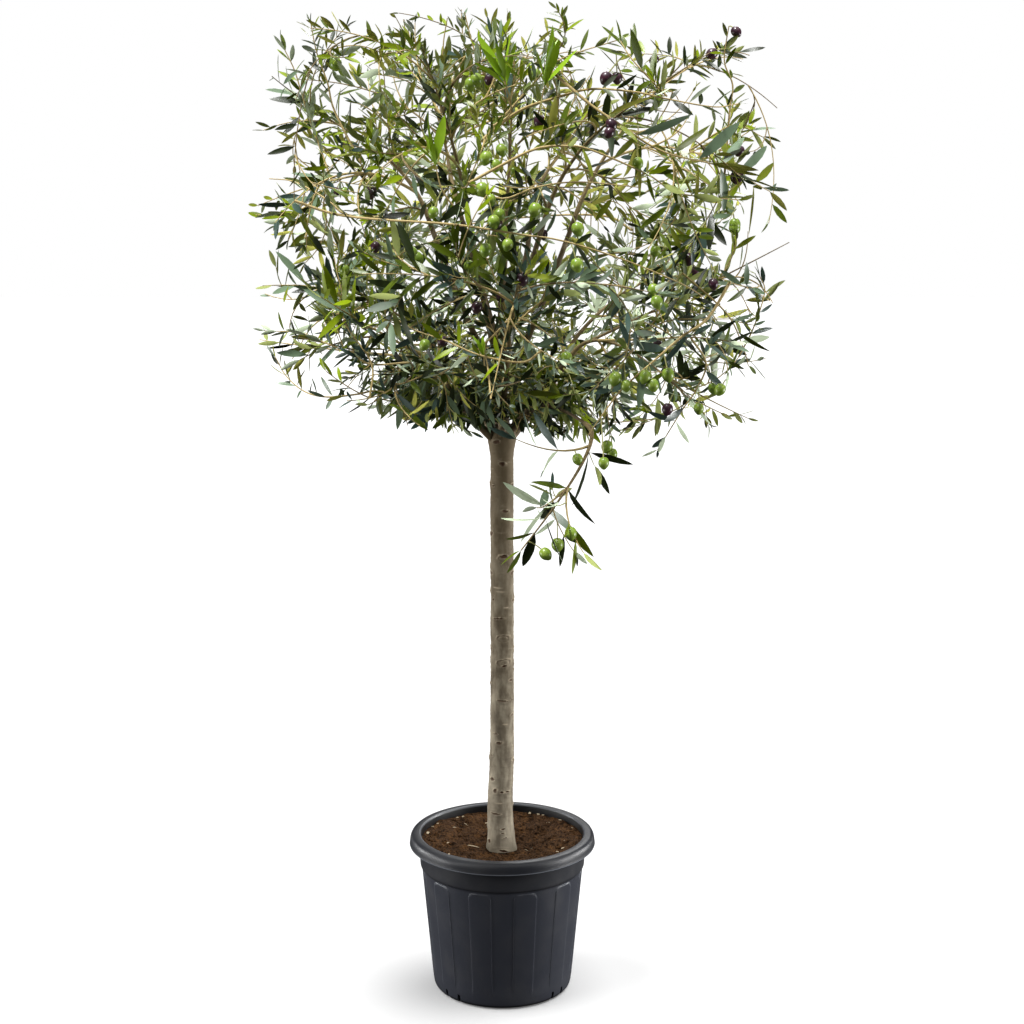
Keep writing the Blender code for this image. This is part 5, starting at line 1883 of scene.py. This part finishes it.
def olive_skin(name, colour, second, dot, gloss):
    """Olive skin: taut and waxy, with small pale dots and a soft broad highlight."""
    material, tree, shader, place = new_material(name, Roughness=gloss)
    dots = add_node(tree, "TexVoronoi", Vector=place, Scale=900.0)
    cloud = add_node(tree, "TexNoise", Vector=place, Scale=120.0, Detail=2.0)
    share = add_node(tree, "MapRange", Value=cloud, From_Min=0.35, From_Max=0.65, To_Max=0.5)
    spot = add_node(tree, "MapRange", Value=dots, From_Min=0.16, From_Max=0.08, To_Max=0.35)
    skin = add_node(tree, "Mix", RGBA, Factor=share, A=colour, B=second)
    skin = add_node(tree, "Mix", RGBA, Factor=spot, A=skin, B=dot)
    bump = add_node(tree, "Bump", Height=dots, Distance=0.0002, Strength=0.15)
    fill(shader, Base_Color=skin, Normal=bump)
    return material


class OLIVE_OT_olives(bpy.types.Operator):
    """Hang green and purple black olives on short stalks from the twigs"""

    bl_idname = "olive.olives"
    bl_label = "Olives"

    def execute(self, context):
        fruit, bark = context.scene.olive_fruit, context.scene.olive_bark
        ball, ball_faces = olive_shape()
        green = olive_skin("Green olive skin", fruit.unripe, fruit.turning, fruit.dot, 0.32)
        black = olive_skin("Ripe olive skin", fruit.ripe, fruit.ripening, fruit.dot, 0.28)
        stalk_wood = twig_wood("Olive stalk", bark.green, bark.tan, 0.6)
        rng = random.Random(77)
        unripe, ripened, stalks = [], [], []
        for middle, hold, ripe in olive_spots(whole_crown(), context.scene.olive_stage):
            size = rng.uniform(0.86, 1.08)
            shape = vec(fruit.width, fruit.width, fruit.length) * size * (0.96 if ripe else 1.0)
            ahead = unit(hold - middle + 0.35 * UP * np.linalg.norm(hold - middle))
            across = unit(np.cross(ahead, (0.2, 0.9, 0.1)))
            axes = np.stack((across, np.cross(ahead, across), ahead))
            olive = (ball * shape) @ axes + middle
            (ripened if ripe else unripe).append((olive, ball_faces))
            top = middle + ahead * shape[2] * 0.44
            way = bend(hold, (hold + top) / 2 + vec(0, 0, 0.003), top, 4)
            stalks.append(tube_arrays(way, tapered(0.0009, 0.0011, 4), 5))
        nodes = [f"foliage_{mass.name}" for mass in whole_crown().masses]
        for name, slot, parts, material in (
            ("olives_green", "foliage", unripe, green),
            ("olives_black", "foliage", ripened, black),
            ("olive_stalks", "bark", stalks, stalk_wood),
        ):
            piece = mesh_piece(name, *joined(parts), [material])
            shade(piece, 60)
            settle(piece, name, slot, *nodes)
        return {"FINISHED"}


# ---------------- stage

CROWN_PIECES = ("leaves_", "twigs_", "olive")  # how the crown's pieces begin
SUNS = (  # name, direction, angle in degrees, strength, what it lights and what casts shadow
    ("overhead", (0.01, 0.06, -1.0), 104, 2.3, "all_but_floor", None),
    ("through", (0.30, 0.25, -1.0), 10, 6.4, "crown", None),
    ("floor_sun_left", (-0.315, -0.105, -1.0), 55.6, 3.9, "floor_alone", "pot_alone"),
    ("floor_sun_right", (0.80, 0.15, -1.0), 44.6, 2.16, "floor_alone", "pot_alone"),
)
SOFT_LIGHTS = (  # name, place, aim, width, power in watts and what it lights
    ("key", (-2.6, -2.6, 2.0), (0, 0, 0.6), 1.4, 36, "pot_and_trunk"),
    ("fill", (2.8, -1.6, 2.2), (0, 0, 0.6), 1.6, 20, "pot_and_trunk"),
    ("left_edge", (-2.6, 0.9, 0.7), (0, 0, 0.4), 0.8, 44, "pot_and_trunk"),
    ("right_edge", (2.6, 0.9, 0.7), (0, 0, 0.4), 0.8, 64, "pot_and_trunk"),
    ("left", (-3.0, -0.5, 0.6), (0, 0, 1.1), 1.2, 58, "all_but_floor"),
    ("right", (3.0, -0.5, 0.6), (0, 0, 1.2), 1.2, 82, "all_but_floor"),
    ("back", (0.6, 3.2, 3.0), (0, 0, 1.3), 1.8, 70, "all_but_floor"),
)


def pale_floor(stage):
    """Matt painted studio floor: pale and even."""
    return new_material(
        "Painted studio floor",
        Base_Color=stage.floor,
        Roughness=0.9,
        Specular_IOR_Level=0.0,
        Emission_Color=(1.0, 1.0, 1.0, 1.0),
        Emission_Strength=0.13,
    )[0]


def linked(name, objects, state):
    """A collection by which a light takes in or leaves out these objects."""
    collection = bpy.data.collections.new(name)
    for obj in objects:
        collection.objects.link(obj)
    for entry in collection.collection_objects:
        entry.light_linking.link_state = state
    return collection


def hang_light(light, place, aim, lit, casts=None):
    """Hangs a light at its place, aimed at a point, with what it lights and what casts shadow."""
    lamp = bpy.data.objects.new(light.name, light)
    lamp.location = place
    lamp.rotation_euler = (Vector(aim) - Vector(place)).to_track_quat("-Z", "Y").to_euler()
    lamp.light_linking.receiver_collection = lit
    lamp.light_linking.blocker_collection = casts
    bpy.context.scene.collection.objects.link(lamp)


def hang_lights(groups):
    """Hangs every light, given the collections that they are linked to by name."""
    for name, direction, spread, strength, lit, casts in SUNS:
        sun = bpy.data.lights.new(name, "SUN")
        sun.energy, sun.angle = strength, math.radians(spread)
        hang_light(sun, (0, 0, 0), direction, groups[lit], groups.get(casts))
    for name, place, aim, size, power, lit in SOFT_LIGHTS:
        light = bpy.data.lights.new(name, "AREA")
        light.shape = "DISK"
        light.size, light.energy = size, power
        hang_light(light, place, aim, groups[lit])


class OLIVE_OT_stage(bpy.types.Operator):
    """Lay the floor, hang the lights and set up the camera"""

    bl_idname = "olive.stage"
    bl_label = "Stage"

    def execute(self, context):
        stage, scene = context.scene.olive_stage, context.scene
        deselect()
        bpy.ops.mesh.primitive_plane_add(size=40.0, location=(0, 0, -0.0005))
        floor = bpy.context.object
        floor.name = "floor"
        floor.data.materials.append(pale_floor(stage))
        floor.visible_diffuse = floor.visible_glossy = False
        leafy = [o for o in scene.objects if o.name.startswith(CROWN_PIECES)]
        potted = [scene.objects["pot_shell"], scene.objects["compost"]]
        members = {
            "all_but_floor": ([floor], "EXCLUDE"),
            "floor_alone": ([floor], "INCLUDE"),
            "crown": (leafy, "INCLUDE"),
            "pot_and_trunk": ([floor, *leafy], "EXCLUDE"),
            "pot_alone": (potted, "INCLUDE"),
        }
        hang_lights({name: linked(name, *group) for name, group in members.items()})
        world = bpy.data.worlds.new("White studio")
        world.use_nodes = True
        sky = world.node_tree
        seen = add_node(sky, "LightPath").outputs["Is Camera Ray"]
        strength = add_node(sky, "MapRange", Value=seen, To_Min=0.06, To_Max=1.0)
        fill(sky.nodes["Background"], Color=(1.0, 1.0, 1.0, 1.0), Strength=strength)
        scene.world = world
        scene.view_settings.view_transform = "Standard"
        deselect()
        camera = bpy.data.cameras.new("camera")
        camera.lens, camera.sensor_width = stage.lens, 36.0
        camera.clip_end = 200.0
        eye = bpy.data.objects.new("camera", camera)
        eye.location = stage.camera
        eye.rotation_euler = (math.pi / 2 - stage.pitch, 0.0, 0.0)
        scene.collection.objects.link(eye)
        scene.camera = eye
        return {"FINISHED"}


# ---------------- add-on


class OLIVE_PT_tree(bpy.types.Panel):
    """The pieces of the olive tree, in the order that they are built"""

    bl_idname = "OLIVE_PT_tree"
    bl_label = "Potted olive tree"
    bl_space_type = "VIEW_3D"
    bl_region_type = "UI"
    bl_category = "Olive"

    def draw(self, context):
        for settings_name in SETTINGS:
            box = self.layout.box()
            settings = getattr(context.scene, settings_name)
            box.label(text=settings_name.removeprefix("olive_").title())
            for name in settings.__annotations__:
                box.prop(settings, name)
        for operator in OPERATORS:
            self.layout.operator(operator.bl_idname)


OPERATORS = (
    OLIVE_OT_pot, OLIVE_OT_soil, OLIVE_OT_trunk, OLIVE_OT_boughs, OLIVE_OT_twigs, OLIVE_OT_leaves,
    OLIVE_OT_olives, OLIVE_OT_stage,
)
CLASSES = (*SETTINGS.values(), *OPERATORS, OLIVE_PT_tree)


def register():
    for cls in CLASSES:
        bpy.utils.register_class(cls)
    for name, settings in SETTINGS.items():
        setattr(bpy.types.Scene, name, bpy.props.PointerProperty(type=settings))


def unregister():
    for name in SETTINGS:
        delattr(bpy.types.Scene, name)
    for cls in reversed(CLASSES):
        bpy.utils.unregister_class(cls)


def main():
    register()
    bpy.ops.olive.pot()
    bpy.ops.olive.soil()
    bpy.ops.olive.trunk()
    bpy.ops.olive.boughs()
    bpy.ops.olive.twigs()
    bpy.ops.olive.leaves()
    bpy.ops.olive.olives()
    bpy.ops.olive.stage()


if __name__ == "__main__":
    main()
